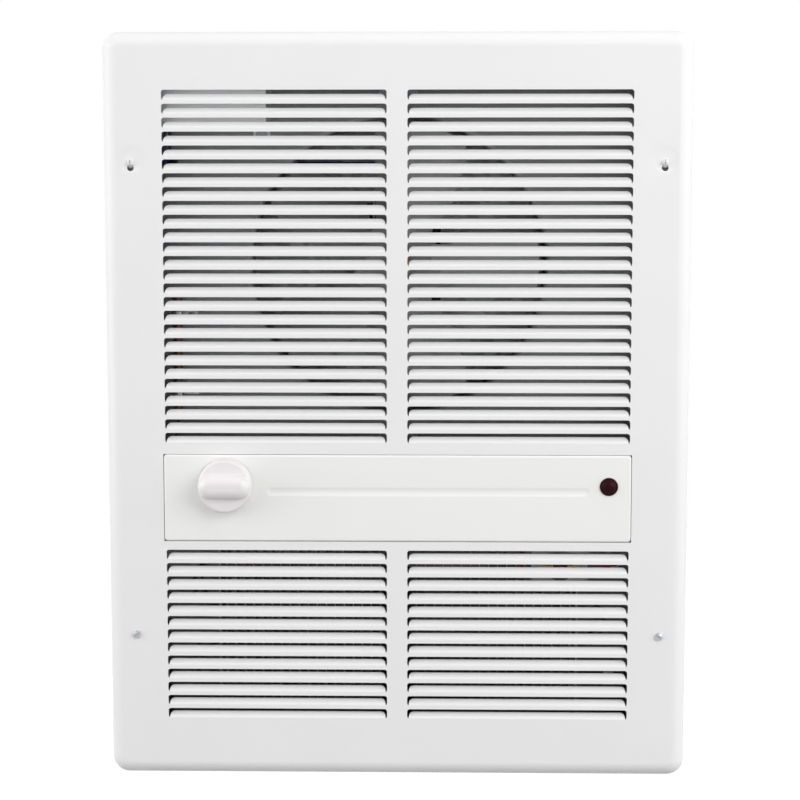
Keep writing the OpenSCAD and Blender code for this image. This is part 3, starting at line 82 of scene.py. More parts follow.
# Every finish is written as: tone in light and shade as sRGB hex, the pattern that joins them, the pattern's
# size in mm along X, Y and Z, roughness from smooth to dull, metallic, IOR, and the relief's grain and height
# in mm. "cloud" is soft mottling, "spangle" is zinc crystals and "lines" are bands across Y.
FINISHES = {
    # White baked enamel on sheet steel: even and low in gloss, with a faint orange peel about 2 mm apart
    "white_enamel": ("#F1F1F1", "#EDEDED", "cloud", (60, 60, 60), (0.36, 0.44), 0, 1.5, 2.2, 0.012),
    # The same enamel on the small plate, a little warmer
    "plate_enamel": ("#F5F6F3", "#F2F3F0", "cloud", (50, 50, 50), (0.36, 0.44), 0, 1.5, 2.2, 0.012),
    # Painted screw heads: the paint is thick and soft at the edges
    "white_head": ("#F0F0EE", "#DFDFDC", "cloud", (2, 2, 2), (0.3, 0.45), 0, 1.5, 0.8, 0.02),
    # Hot-dip galvanised sheet: crystals of zinc 6 to 12 mm across, each turned its own way
    "galvanised": ("#AEB0B1", "#9FA2A4", "spangle", (9, 9, 9), (0.4, 0.56), 1, 1.5, 0.6, 0.006),
    # Electroplated sheet: smooth and lighter than the galvanised box, so it shows through the top slots
    "bright_zinc": ("#E2E4E5", "#D4D6D7", "cloud", (25, 25, 25), (0.42, 0.52), 1, 1.5, 0.6, 0.004),
    # Aluminised sheet: matt silver with fine streaks along the roll
    "aluminised": ("#9A9B9C", "#8B8D8E", "cloud", (40, 1.5, 1.5), (0.46, 0.6), 1, 1.5, 0.8, 0.006),
    # Electroplated zinc on fasteners: slightly blue, cloudy
    "zinc": ("#BFC3C8", "#8F949A", "cloud", (1.5, 1.5, 1.5), (0.3, 0.5), 1, 1.5, 0.4, 0.01),
    # Nickel plating: a warm silver with clear highlights
    "plated_steel": ("#CFCFCC", "#A9A9A6", "cloud", (3, 3, 3), (0.18, 0.32), 1, 1.5, 0.5, 0.004),
    # Stamped aluminium, rolled smooth and dulled by handling
    "fan_aluminium": ("#9A9B9C", "#8A8C8D", "cloud", (14, 2, 14), (0.42, 0.56), 1, 1.5, 0.7, 0.006),
    # Turned brass: pale gold, a little browner where it tarnishes first
    "brass": ("#D6BC84", "#B5965A", "cloud", (4, 1, 4), (0.24, 0.42), 1, 1.5, 0.5, 0.006),
    # Black oxide on the set screw: near black with the dull shine of metal
    "black_steel": ("#3A3A3C", "#222224", "cloud", (1, 1, 1), (0.35, 0.5), 1, 1.5, 0.4, 0.006),
    # Ground shaft: fine rings left by the wheel
    "ground_steel": ("#CBCBCD", "#A6A6A9", "lines", (8, 0.35, 8), (0.16, 0.3), 1, 1.5, 0.4, 0.003),
    # Stacked electrical steel under dark varnish: one line for each sheet, drawn twice as thick as life
    "lamination": ("#6B6C70", "#3A3633", "lines", (9, 1.0, 9), (0.35, 0.55), 1, 1.5, 0.6, 0.02),
    # Natural nylon: cream coloured and waxy
    "bobbin_nylon": ("#DDD3B8", "#CFC4A6", "cloud", (9, 9, 9), (0.38, 0.5), 0, 1.53, 0.7, 0.01),
    # Enamelled copper wire under clear varnish: reddish brown and glossy
    "winding": ("#A5552B", "#6E3216", "cloud", (3, 3, 3), (0.22, 0.4), 0, 1.5, 0.5, 0.01),
    # Die-cast zinc: matt grey with a slight grain
    "die_cast": ("#9C9DA0", "#7C7D81", "cloud", (3, 3, 3), (0.42, 0.58), 1, 1.5, 1.0, 0.03),
    # Sintered bronze: brown, matt and dark with oil
    "bronze": ("#A1794A", "#76532C", "cloud", (1, 1, 1), (0.4, 0.55), 1, 1.5, 0.4, 0.02),
    # Soft black rubber: dull, with hardly any highlight
    "grommet_rubber": ("#232323", "#171717", "cloud", (2, 2, 2), (0.6, 0.75), 0, 1.52, 0.5, 0.02),
    # Steel sheath, blued and browned by the heat in bands along its length
    "sheath_steel": ("#6D6660", "#3F3A3A", "cloud", (26, 9, 9), (0.38, 0.55), 1, 1.5, 0.6, 0.01),
    # Aluminised fins: silver grey, clouded and dulled by heat
    "fin_steel": ("#9B9C9C", "#77777A", "cloud", (6, 9, 9), (0.42, 0.58), 1, 1.5, 0.8, 0.01),
    # Unglazed steatite: chalky and off-white
    "insulator_ceramic": ("#ECE7DC", "#DAD3C4", "cloud", (3, 3, 3), (0.5, 0.65), 0, 1.55, 0.5, 0.02),
    # Dark phenolic moulding with a dull skin
    "phenolic": ("#2A2522", "#181513", "cloud", (4, 4, 4), (0.35, 0.5), 0, 1.6, 0.7, 0.01),
    # White satin ABS, a shade pinker than the enamel
    "knob_white": ("#EFEBEC", "#EAE6E7", "cloud", (12, 12, 12), (0.3, 0.38), 0, 1.53, 0.9, 0.004),
    # Drawn copper: brown and clouded, with the shine of metal
    "copper": ("#805A47", "#5E4033", "cloud", (3, 3, 8), (0.36, 0.5), 1, 1.5, 0.5, 0.006),
    # Dark red polycarbonate, unlit: almost black, with a soft shine on its dome
    "lamp_red": ("#30040E", "#1E0308", "cloud", (3, 3, 3), (0.22, 0.3), 0, 1.58, 0.8, 0.003),
    # Black nylon: even and a little dull
    "lamp_black": ("#242424", "#161616", "cloud", (4, 4, 4), (0.4, 0.5), 0, 1.53, 0.6, 0.01),
    # Red moulded plastic: even, with a soft highlight
    "reset_red": ("#B3201C", "#8E1512", "cloud", (2, 2, 2), (0.25, 0.36), 0, 1.53, 0.6, 0.006),
    # White glass-filled nylon: matt and faintly grey
    "block_white": ("#E4E3DC", "#D5D4CB", "cloud", (6, 6, 6), (0.4, 0.52), 0, 1.53, 0.6, 0.01),
    # Green lacquered screw: the metal shines through the colour
    "ground_green": ("#2F8F4A", "#1C6A33", "cloud", (2, 2, 2), (0.3, 0.42), 1, 1.5, 0.4, 0.008),
    # Wire insulation, extruded PVC with a faint grain along the wire
    "wire_black": ("#252525", "#181818", "cloud", (3, 3, 3), (0.35, 0.46), 0, 1.54, 0.5, 0.006),
    "wire_red": ("#A0241E", "#7F1713", "cloud", (3, 3, 3), (0.35, 0.46), 0, 1.54, 0.5, 0.006),
    "wire_blue": ("#2B468F", "#1D3474", "cloud", (3, 3, 3), (0.35, 0.46), 0, 1.54, 0.5, 0.006),
    "wire_grey": ("#8C8C8E", "#747476", "cloud", (3, 3, 3), (0.35, 0.46), 0, 1.54, 0.5, 0.006),
}

# The lens is ribbed inside and sends little light straight back, so its share of mirrored light is lowered
USUAL_SPECULAR = 0.5
SPECULAR = {"lamp_red": 0.06}

# Scale at which the wave texture makes one band for each unit: 2 pi / 20
ONE_BAND = 0.314


def linear(hex_colour):
    """The linear RGBA of an sRGB hex colour."""
    parts = [int(hex_colour[i:i + 2], 16) / 255 for i in (1, 3, 5)]
    return tuple(c / 12.92 if c <= 0.04045 else ((c + 0.055) / 1.055) ** 2.4 for c in parts) + (1.0,)


def add(tree, kind, settings=(), links=()):
    """Adds a node. Settings name its inputs or its properties, links name its inputs and what feeds them."""
    node = tree.nodes.new(kind)
    for name, value in dict(settings).items():
        if isinstance(name, int) or name in node.inputs:
            node.inputs[name].default_value = value
        else:
            setattr(node, name, value)
    for name, source in dict(links).items():
        tree.links.new(source, node.inputs[name])
    return node


def finish(slot):
    """The material of one slot of the record, made once."""
    name = "finish_" + slot
    if name in bpy.data.materials:
        return bpy.data.materials[name]
    light, shade, pattern, size, roughness, metallic, ior, grain, height = FINISHES[slot]
    material = bpy.data.materials.new(name)
    material.use_nodes = True
    tree = material.node_tree
    tree.nodes.clear()
    place = add(tree, "ShaderNodeTexCoord").outputs["Object"]
    per_metre = [1 / (s * MM) for s in size]
    scaled = add(tree, "ShaderNodeMapping", {"Scale": per_metre}, {"Vector": place}).outputs[0]
    if pattern == "spangle":
        cells = add(tree, "ShaderNodeTexVoronoi", {"Scale": 1.0, "Randomness": 0.9}, {"Vector": scaled})
        tone = add(tree, "ShaderNodeSeparateColor", links={"Color": cells.outputs["Color"]}).outputs[0]
    elif pattern == "lines":
        bands = {"bands_direction": "Y", "Scale": ONE_BAND, "Distortion": 0.6, "Detail": 1.0}
        tone = add(tree, "ShaderNodeTexWave", bands, {"Vector": scaled}).outputs["Fac"]
    else:
        clouds = add(tree, "ShaderNodeTexNoise", {"Scale": 1.0, "Detail": 3.0}, {"Vector": scaled})
        tone = clouds.outputs["Fac"]
    colour = add(tree, "ShaderNodeMix", {"data_type": "RGBA", 6: linear(shade), 7: linear(light)}, {0: tone})
    dull = add(tree, "ShaderNodeMapRange", {"To Min": roughness[1], "To Max": roughness[0]}, {"Value": tone})
    peel = add(tree, "ShaderNodeTexNoise", {"Scale": 1 / (grain * MM), "Detail": 2.0}, {"Vector": place})
    relief = add(tree, "ShaderNodeBump", {"Strength": 1.0, "Distance": height * MM},
                 {"Height": peel.outputs["Fac"]})
    even = {"Metallic": metallic, "IOR": ior, "Specular IOR Level": SPECULAR.get(slot, USUAL_SPECULAR)}
    uneven = {"Base Color": colour.outputs[2], "Roughness": dull.outputs[0], "Normal": relief.outputs[0]}
    shader = add(tree, "ShaderNodeBsdfPrincipled", even, uneven)
    add(tree, "ShaderNodeOutputMaterial", links={"Surface": shader.outputs[0]})
    return material


# ---------- surfaces ----------

# Radius of the small rings that close a surface at its axis
POLE = 0.001 * MM


def mesh_piece(name, points, faces, slot, body, replaced=(), sharp_deg=35):
    """A piece from points and faces, with its slot's finish, riding on a body in place of the named nodes."""
    mesh = bpy.data.meshes.new(name)
    mesh.from_pydata(points.tolist(), [], [f.tolist() for f in faces])
    mesh.validate()
    mesh.polygons.foreach_set("use_smooth", np.ones(len(mesh.polygons), bool))
    mesh.set_sharp_from_angle(angle=math.radians(sharp_deg))
    mesh.update()
    piece = bpy.data.objects.new(name, mesh)
    bpy.context.scene.collection.objects.link(piece)
    mesh.materials.append(finish(slot))
    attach(piece, body)
    if replaced:
        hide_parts(*replaced)
    return piece


def grid_faces(rows, columns, start=0, closed=True):
    """Quads of a grid of rows by columns of points; closed joins the last column to the first."""
    last = columns if closed else columns - 1
    row = np.arange(rows - 1)[:, None] * columns
    column = np.arange(last)[None, :]
    after = (column + 1) % columns
    quads = np.stack([row + column, row + after, row + columns + after, row + columns + column], axis=-1)
    return quads.reshape(-1, 4) + start


def capped_faces(rows, around):
    """Faces of rings that face outwards, with the first and the last ring closed by one face each."""
    ring = np.arange(around)
    sides = list(grid_faces(rows, around)[:, ::-1])
    return sides + [ring, ring[::-1] + (rows - 1) * around]


# ---------- the frame's own pieces ----------

SLOTS = {row["node"]: row["material_slot"] for row in frame["record"]["subparts"]}
SHARP_ANGLE = math.radians(32)
WELD_DISTANCE = 0.001 * MM


def rounded_shading():
    """Node group that shades a mesh smooth and keeps the edges that turn by more than SHARP_ANGLE."""
    name = "rounded_shading"
    if name in bpy.data.node_groups:
        return bpy.data.node_groups[name]
    group = bpy.data.node_groups.new(name, "GeometryNodeTree")
    group.interface.new_socket("Geometry", in_out="INPUT", socket_type="NodeSocketGeometry")
    group.interface.new_socket("Geometry", in_out="OUTPUT", socket_type="NodeSocketGeometry")
    mesh = add(group, "NodeGroupInput").outputs[0]
    smooth = add(group, "GeometryNodeSetShadeSmooth", {"domain": "FACE", "Shade Smooth": True},
                 {"Geometry": mesh})
    angle = add(group, "GeometryNodeInputMeshEdgeAngle").outputs["Unsigned Angle"]
    sharp = add(group, "FunctionNodeCompare",
                {"data_type": "FLOAT", "operation": "GREATER_THAN", 1: SHARP_ANGLE}, {0: angle})
    edges = add(group, "GeometryNodeSetShadeSmooth", {"domain": "EDGE", "Shade Smooth": False},
                {"Geometry": smooth.outputs[0], "Selection": sharp.outputs[0]})
    add(group, "NodeGroupOutput", links={0: edges.outputs[0]})
    return group


def dress(*names):
    """Gives CAD nodes their finish and even shading; their shape and place stay as they are."""
    for name in names:
        node = nodes[name]
        node.data.materials.clear()
        node.data.materials.append(finish(SLOTS[name]))
        weld = node.modifiers.new("weld", "WELD")
        weld.merge_threshold = WELD_DISTANCE
        node.modifiers.new("shading", "NODES").node_group = rounded_shading()
        normals = node.modifiers.new("normals", "WEIGHTED_NORMAL")
        normals.keep_sharp = True


CASE = ("box_back", "box_sides", "box_ends", "sheet_screws", "panel_standoffs", "upper_panel_screws",
        "lower_panel_screws")
FRONT = ("front_panel", "control_plate")
CONTROLS = ("plate_nuts", "control_channel", "thermostat_body", "thermostat_terminals",
            "thermostat_nut", "thermostat_shaft", "sensing_bulb", "capillary_tube", "bulb_clips",
            "pilot_lamp_body", "lamp_retainer")
FAN = ("fan_plate", "fan_blade", "fan_hub", "hub_set_screw")
MOTOR = ("motor_shaft", "motor_rotor", "motor_stator", "motor_bobbin", "motor_front_bracket",
         "motor_rear_bracket", "motor_bearings", "motor_bolts", "motor_nuts", "motor_strap",
         "motor_grommets", "strap_screws")
ELEMENT = ("element_tube", "element_fins", "element_insulators", "element_terminals", "element_brackets",
           "air_deflector", "deflector_screws")
LIMIT = ("limit_bracket", "limit_body", "limit_cap", "limit_terminals", "reset_button")
WIRING = ("junction_cover", "junction_screws", "terminal_block", "terminal_screws", "ground_screw",
          "supply_wires", "element_wires", "motor_leads", "lamp_leads")


# ---------- properties ----------

class KnobSizes(bpy.types.PropertyGroup):
    """Sizes of the thermostat knob."""
    rise: FloatProperty(name="Rise", description="How far the grip bar stands in front of the disc",
                        default=7 * MM, unit="LENGTH")
    half: FloatProperty(name="Half height", description="Half the height of the grip bar at its foot",
                        default=8.5 * MM, unit="LENGTH")
    rim: FloatProperty(name="Rim", description="Radius of the disc's front edge",
                       default=2 * MM, unit="LENGTH")
    inset: FloatProperty(name="Bar inset", description="How far the bar's ends stay inside the disc's edge",
                         default=0.3 * MM, unit="LENGTH")


class LampSizes(bpy.types.PropertyGroup):
    """Sizes of the pilot lamp's lens."""
    ribs: IntProperty(name="Ribs", description="Number of fine ribs round the lens", default=24)
    dome: FloatProperty(name="Dome", description="Height of the dome in front of the rim",
                        default=2.4 * MM, unit="LENGTH")


class CoilSizes(bpy.types.PropertyGroup):
    """Sizes of the motor's winding."""
    turns: IntProperty(name="Turns", description="Turns that show in the outer layer", default=34)
    crown: FloatProperty(name="Crown", description="Height of each turn's round back",
                         default=0.45 * MM, unit="LENGTH")


class StageLook(bpy.types.PropertyGroup):
    """Floor, light and camera."""
    drop: FloatProperty(name="Floor drop", description="Distance from the heater down to the floor",
                        default=0.34, unit="LENGTH")
    glow: FloatProperty(name="Floor glow", description="Share of white that the floor shows without light",
                        default=0.86)
    floor: StringProperty(name="Floor colour", description="sRGB hex colour of the floor", default="#9C9C9C")
    speck: StringProperty(name="Floor speckle", description="sRGB hex colour of the floor's darker specks",
                          default="#989898")
    key: FloatProperty(name="Key", description="Power of the large lamp at the right", default=28.0)
    fill: FloatProperty(name="Fill", description="Power of the large lamp at the left", default=10.5)
    left: FloatProperty(name="Left", description="Power of the lamp level with the wall on the left",
                        default=15.3)
    right: FloatProperty(name="Right", description="Power of the lamp level with the wall on the right",
                         default=8.1)
    above: FloatProperty(name="Above", description="Power of the lamp above the wall", default=3.6)
    sky: FloatProperty(name="Sky", description="Strength of the even light from all round", default=0.48)
    lens: FloatProperty(name="Lens", description="Focal length in mm on a 36 mm sensor", default=88.24)
    tilt: FloatProperty(name="Tilt", description="How far the camera looks down", default=math.radians(6.106),
                        subtype="ANGLE")
    yaw: FloatProperty(name="Yaw", description="How far the camera looks to the left",
                       default=math.radians(1.217), subtype="ANGLE")
    place: FloatVectorProperty(name="Camera", description="Place of the camera", subtype="TRANSLATION",
                               default=(0.0308, -1.3652, 0.1523))


# ---------- operators ----------

class HEATER_OT_case(bpy.types.Operator):
    """Dress the wall box, the standoffs and the panel's screws"""
    bl_idname = "heater.case"
    bl_label = "Case"

    def execute(self, context):
        dress(*CASE)
        return {"FINISHED"}


class HEATER_OT_front(bpy.types.Operator):
    """Dress the louvred panel and the control plate"""
    bl_idname = "heater.front"
    bl_label = "Front"

    def execute(self, context):
        dress(*FRONT)
        return {"FINISHED"}


class HEATER_OT_controls(bpy.types.Operator):
    """Dress the channel, the thermostat and what holds the lamp"""
    bl_idname = "heater.controls"
    bl_label = "Controls"

    def execute(self, context):
        dress(*CONTROLS)
        return {"FINISHED"}


class HEATER_OT_knob(bpy.types.Operator):
    """Make the thermostat knob with its level grip bar"""
    bl_idname = "heater.knob"
    bl_label = "Knob"

    def execute(self, context):
        sizes = context.scene.heater_knob
        low, high = (np.array(c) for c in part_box("thermostat_knob"))
        centre = (low + high) / 2
        knob_surface(centre, (high[0] - low[0]) / 2, low[1], high[1], sizes)
        return {"FINISHED"}


def knob_surface(centre, radius, front, back, sizes):
    """The knob: a turned disc, and a grip bar with round ends across its whole front."""
    foot = front + sizes.rise
    disc_points, disc_faces = knob_disc(radius, foot, back, sizes.rim)
    bar_points, bar_faces = knob_bar(radius - sizes.inset, front, foot, sizes)
    points = np.concatenate([disc_points, bar_points]) + (centre[0], 0, centre[2])
    faces = disc_faces + [face + len(disc_points) for face in bar_faces]
    return mesh_piece("knob", points, faces, "knob_white", "knob", ["thermostat_knob"], 40)


def knob_disc(radius, face, back, rim):
    """Rings round the axis: the face, the rounded edge, the side, then the hollow back with a boss and its
    bore. The edge's rings follow r = radius - rim + rim sin a and depth = face + rim (1 - cos a)."""
    around = 128
    wall = 1.8 * MM
    boss = 6.2 * MM
    bore = 3.25 * MM
    hollow = back - 2.4 * MM
    bore_end = back - 4 * MM
    bend = np.linspace(0, np.pi / 2, 9)
    edge = zip(radius - rim + rim * np.sin(bend), face + rim * (1 - np.cos(bend)))
    profile = [(POLE, face), *edge, (radius, back), (radius - wall, back), (radius - wall, hollow),
               (boss, hollow), (boss, back), (bore, back), (bore, bore_end), (POLE, bore_end)]
    return turned(np.array(profile), around)


def turned(profile, around):
    """Points and faces of a profile of radius and depth turned round Y, with both ends closed."""
    turn = np.linspace(0, 2 * np.pi, around, endpoint=False)
    r = profile[:, :1] * np.ones(around)
    y = profile[:, 1:] * np.ones(around)
    points = np.stack([r * np.cos(turn), y, r * np.sin(turn)], axis=-1).reshape(-1, 3)
    return points, capped_faces(len(profile), around)


def knob_bar(reach, front, foot, sizes):
    """Rings round the bar's middle line, which is as long as its round ends allow. A ring's distance d from
    that line gives its depth: the flat front, then foot - sqrt(rise^2 - (d - flat)^2), then straight in."""
    half_around = 48
    sunk = foot + 1 * MM
    flat = sizes.half - sizes.rise
    innermost = flat * 0.4
    bend = np.linspace(0, np.pi / 2, 20)
    distance = np.concatenate([[innermost], flat + sizes.rise * np.sin(bend), [sizes.half, POLE]])
    depth = np.concatenate([[front], foot - sizes.rise * np.cos(bend), [sunk, sunk]])
    right = np.linspace(-np.pi / 2, np.pi / 2, half_around)
    turn = np.concatenate([right, right + np.pi])
    middle = np.repeat([1, -1], half_around) * (reach - sizes.half)
    x = middle + distance[:, None] * np.cos(turn)
    y = depth[:, None] + 0 * turn
    z = distance[:, None] * np.sin(turn)
    rows, around = x.shape
    points = np.stack([x, y, z], axis=-1).reshape(-1, 3)
    return points, capped_faces(rows, around)


class HEATER_OT_lamp(bpy.types.Operator):
    """Make the pilot lamp's lens"""
    bl_idname = "heater.lamp"
    bl_label = "Lamp"

    def execute(self, context):
        sizes = context.scene.heater_lamp
        low, high = (np.array(c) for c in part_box("pilot_lamp_lens"))
        lens_surface((low + high) / 2, (high[0] - low[0]) / 2, low[1], high[1], sizes)
        return {"FINISHED"}


def lens_surface(centre, radius, front, back, sizes):
    """The lens as rings round its axis: a dome whose depth falls with the square of the distance from the
    middle, then a rounded rim and a plug behind. Fine ribs grow from 0.3 of the radius to 0.95 of it."""
    around = sizes.ribs * 4
    rib_height = 0.07 * MM
    lift = 0.02 * MM
    soft = 0.3 * MM
    step = 0.15 * MM
    rim = front + sizes.dome
    plate = rim + 0.9 * MM
    edge = radius - 1.0 * MM
    plug = edge - 1.2 * MM
    turn = np.linspace(0, 2 * np.pi, around, endpoint=False)
    share = np.linspace(0.001, 1, 16)[:, None]
    growth = np.clip(share * 2 - 0.6, 0, 1) * (share < 0.95)
    rib = rib_height * np.cos(turn * sizes.ribs) * growth
    dome_r = share * edge * np.ones(around)
    dome_y = front + sizes.dome * share ** 2 - rib + lift
    ends = np.array([(edge + step, rim), (radius - soft, rim + lift), (radius, rim + soft),
                     (radius, plate), (plug, plate), (plug, back), (POLE, back)])
    r = np.concatenate([dome_r, ends[:, :1] * np.ones(around)])
    y = np.concatenate([dome_y, ends[:, 1:] * np.ones(around)])
    points = np.stack([r * np.cos(turn) + centre[0], y, r * np.sin(turn) + centre[2]], axis=-1)
    faces = capped_faces(len(r), around)
    return mesh_piece("lens", points.reshape(-1, 3), faces, "lamp_red", "heater", ["pilot_lamp_lens"], 50)


class HEATER_OT_fan(bpy.types.Operator):
    """Dress the orifice plate, the fan and its hub"""
    bl_idname = "heater.fan"
    bl_label = "Fan"

    def execute(self, context):
        dress(*FAN)
        return {"FINISHED"}


class HEATER_OT_motor(bpy.types.Operator):
    """Dress the motor and wind its coil"""
    bl_idname = "heater.motor"
    bl_label = "Motor"

    def execute(self, context):
        dress(*MOTOR)
        low, high = (np.array(c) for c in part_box("motor_coil"))
        coil_surface(low, high, context.scene.heater_coil)
        return {"FINISHED"}


def coil_surface(low, high, sizes):
    """The winding as a tube of rectangular section round the leg: the outside runs along X as a row of round
    backs, one for each turn, and each turn's ring is a rectangle with rounded corners in Y and Z."""
    steps = 6
    along = sizes.turns * steps + 1
    x = np.linspace(low[0], high[0], along)
    wave = np.abs(np.sin(np.pi * sizes.turns * (x - low[0]) / (high[0] - low[0])))
    inset = sizes.crown * (1 - wave)
    corner = 4.0 * MM
    inner_corner = 0.4 * MM
    wall = 7.4 * MM
    bends = 7
    arc = np.linspace(0, np.pi / 2, bends)
    turn = np.concatenate([arc + q * np.pi / 2 for q in range(4)])
    sign_y = np.repeat([1, -1, -1, 1], bends)
    sign_z = np.repeat([1, 1, -1, -1], bends)
    mid = (low + high) / 2
    half_y = (high[1] - low[1]) / 2
    half_z = (high[2] - low[2]) / 2

    def loops(outset, r):
        """Rounded rectangles in Y and Z, one for each place along X, grown by outset from the half sizes."""
        y = mid[1] + sign_y * (half_y + outset[:, None] - r) + r * np.cos(turn)
        z = mid[2] + sign_z * (half_z + outset[:, None] - r) + r * np.sin(turn)
        return np.stack([np.repeat(x[:, None], len(turn), axis=1), y, z], axis=-1)

    outer = loops(-inset, corner)
    inner = loops(np.full(along, -wall), inner_corner)[::-1]
    points = np.concatenate([outer, inner, outer[:1]])[:-1]
    around = len(turn)
    rows = len(points)
    faces = grid_faces(rows, around)
    ring = np.arange(around)
    after = (ring + 1) % around
    last = (rows - 1) * around
    closing = np.stack([ring + last, after + last, after, ring], axis=-1)
    faces = np.concatenate([faces, closing])[:, ::-1]
    return mesh_piece("coil", points.reshape(-1, 3), list(faces), "winding", "heater", ["motor_coil"], 60)


class HEATER_OT_element(bpy.types.Operator):
    """Dress the finned element, its brackets and the air deflector"""
    bl_idname = "heater.element"
    bl_label = "Element"

    def execute(self, context):
        dress(*ELEMENT)
        return {"FINISHED"}


class HEATER_OT_limit(bpy.types.Operator):
    """Dress the resettable limit"""
    bl_idname = "heater.limit"
    bl_label = "Limit"

    def execute(self, context):
        dress(*LIMIT)
        return {"FINISHED"}


class HEATER_OT_wiring(bpy.types.Operator):
    """Dress the wiring compartment, its terminals and the wires"""
    bl_idname = "heater.wiring"
    bl_label = "Wiring"

    def execute(self, context):
        dress(*WIRING)
        return {"FINISHED"}


# Each lamp's middle and the length of its sides. The stage's property of the same name gives its power.
LAMPS = {
    "key": ((1.5, -1.5, 0.95), 1.7),
    "fill": ((-1.6, -1.5, 0.8), 1.7),
    "left": ((-1.9, -0.25, 0.3), 1.4),
    "right": ((1.9, -0.25, 0.3), 1.4),
    "above": ((0.1, -0.3, 1.9), 1.4),
}


class HEATER_OT_stage(bpy.types.Operator):
    """Make the floor, the lamps, the sky and the camera"""
    bl_idname = "heater.stage"
    bl_label = "Stage"

    def execute(self, context):
        look = context.scene.heater_stage
        stage_floor(look, cad_box[0][2] - look.drop)
        stage_sky(context.scene, look)
        for name, (place, size) in LAMPS.items():
            stage_lamp(name, place, size, getattr(look, name))
        stage_camera(context.scene, look)
        return {"FINISHED"}


def stage_floor(look, height):
    """A level square floor. It glows for the camera and in reflections, so it looks as white as the sky."""
    half = 3.0
    lines = 13
    specks = 40.0
    side = np.linspace(-half, half, lines)
    x, y = np.meshgrid(side, side)
    points = np.stack([x, y, np.full_like(x, height)], axis=-1).reshape(-1, 3)
    mesh = bpy.data.meshes.new("floor")
    mesh.from_pydata(points.tolist(), [], grid_faces(lines, lines, closed=False).tolist())
    material = bpy.data.materials.new("pale_floor")
    material.use_nodes = True
    tree = material.node_tree
    tree.nodes.clear()
    speckle = add(tree, "ShaderNodeTexNoise", {"Scale": specks})
    tint = add(tree, "ShaderNodeMix", {"data_type": "RGBA", 6: linear(look.speck), 7: linear(look.floor)},
               {0: speckle.outputs["Fac"]})
    matt = add(tree, "ShaderNodeBsdfDiffuse", {}, {"Color": tint.outputs[2]})
    path = add(tree, "ShaderNodeLightPath")
    seen = add(tree, "ShaderNodeMath", {"operation": "MAXIMUM"},
               {0: path.outputs["Is Camera Ray"], 1: path.outputs["Is Glossy Ray"]})
    clear = add(tree, "ShaderNodeMath", {"operation": "MAXIMUM"},
                {0: seen.outputs[0], 1: path.outputs["Is Transmission Ray"]})
    share = add(tree, "ShaderNodeMath", {"operation": "MULTIPLY", 1: look.glow}, {0: clear.outputs[0]})
    glow = add(tree, "ShaderNodeEmission", {"Color": (1, 1, 1, 1)}, {"Strength": share.outputs[0]})
    both = add(tree, "ShaderNodeAddShader", {}, {0: matt.outputs[0], 1: glow.outputs[0]})
    add(tree, "ShaderNodeOutputMaterial", links={"Surface": both.outputs[0]})
    mesh.materials.append(material)
    floor = bpy.data.objects.new("floor", mesh)
    bpy.context.scene.collection.objects.link(floor)


def stage_sky(scene, look):
    """Even light from all round, white where the camera, a reflection or a clear piece looks at it."""
    world = bpy.data.worlds.new("sky")
    world.use_nodes = True
    tree = world.node_tree
    tree.nodes.clear()
    path = add(tree, "ShaderNodeLightPath")
    seen = add(tree, "ShaderNodeMath", {"operation": "MAXIMUM"},
               {0: path.outputs["Is Camera Ray"], 1: path.outputs["Is Transmission Ray"]})
    mirrored = add(tree, "ShaderNodeMath", {"operation": "MAXIMUM"},
                   {0: seen.outputs[0], 1: path.outputs["Is Glossy Ray"]})
    strength = add(tree, "ShaderNodeMapRange", {"To Min": look.sky, "To Max": 1.0},
                   {"Value": mirrored.outputs[0]})
    light = add(tree, "ShaderNodeBackground", {"Color": (1, 1, 1, 1)}, {"Strength": strength.outputs[0]})
    add(tree, "ShaderNodeOutputWorld", links={"Surface": light.outputs[0]})
    scene.world = world


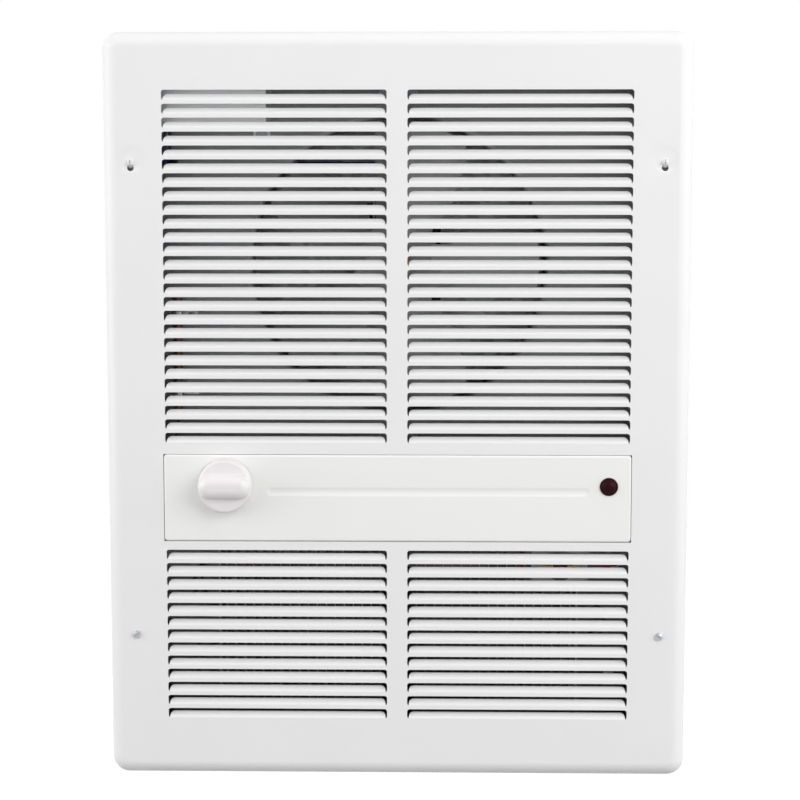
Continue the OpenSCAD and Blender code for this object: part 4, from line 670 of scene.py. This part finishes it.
def stage_lamp(name, place, size, power):
    """A soft square lamp that faces the middle of the heater."""
    data = bpy.data.lights.new(name, "AREA")
    data.shape = "SQUARE"
    data.size = size
    data.energy = power
    lamp = bpy.data.objects.new(name, data)
    bpy.context.scene.collection.objects.link(lamp)
    away = -np.array(place)
    yaw = math.atan2(-away[0], away[1])
    pitch = math.atan2(math.hypot(away[0], away[1]), -away[2])
    lamp.location = place
    lamp.rotation_euler = (pitch, 0, yaw)


def stage_camera(scene, look):
    """The camera, slightly to the right of the heater and above its middle."""
    data = bpy.data.cameras.new("camera")
    data.lens = look.lens
    data.sensor_width = 36.0
    camera = bpy.data.objects.new("camera", data)
    scene.collection.objects.link(camera)
    camera.location = look.place
    camera.rotation_euler = (math.pi / 2 - look.tilt, 0, look.yaw)
    scene.camera = camera
    scene.view_settings.view_transform = "Standard"


STEPS = ("case", "front", "controls", "knob", "lamp", "fan", "motor", "element", "limit", "wiring", "stage")


class HEATER_PT_panel(bpy.types.Panel):
    """Lists the steps and their sizes"""
    bl_idname = "HEATER_PT_panel"
    bl_label = "Wall heater"
    bl_space_type = "VIEW_3D"
    bl_region_type = "UI"
    bl_category = "Heater"

    def draw(self, context):
        for step in STEPS:
            self.layout.operator("heater." + step)
        for name, group in GROUPS.items():
            box = self.layout.box()
            for prop in group.__annotations__:
                box.prop(getattr(context.scene, name), prop)


GROUPS = {"heater_knob": KnobSizes, "heater_lamp": LampSizes, "heater_coil": CoilSizes,
          "heater_stage": StageLook}
CLASSES = (*GROUPS.values(), HEATER_OT_case, HEATER_OT_front, HEATER_OT_controls, HEATER_OT_knob,
           HEATER_OT_lamp, HEATER_OT_fan, HEATER_OT_motor, HEATER_OT_element, HEATER_OT_limit,
           HEATER_OT_wiring, HEATER_OT_stage, HEATER_PT_panel)


def register():
    for one in CLASSES:
        bpy.utils.register_class(one)
    for name, group in GROUPS.items():
        setattr(bpy.types.Scene, name, PointerProperty(type=group))


def unregister():
    for name in GROUPS:
        delattr(bpy.types.Scene, name)
    for one in reversed(CLASSES):
        bpy.utils.unregister_class(one)


def main():
    register()
    for step in STEPS:
        getattr(bpy.ops.heater, step)()


if __name__ == "__main__":
    main()
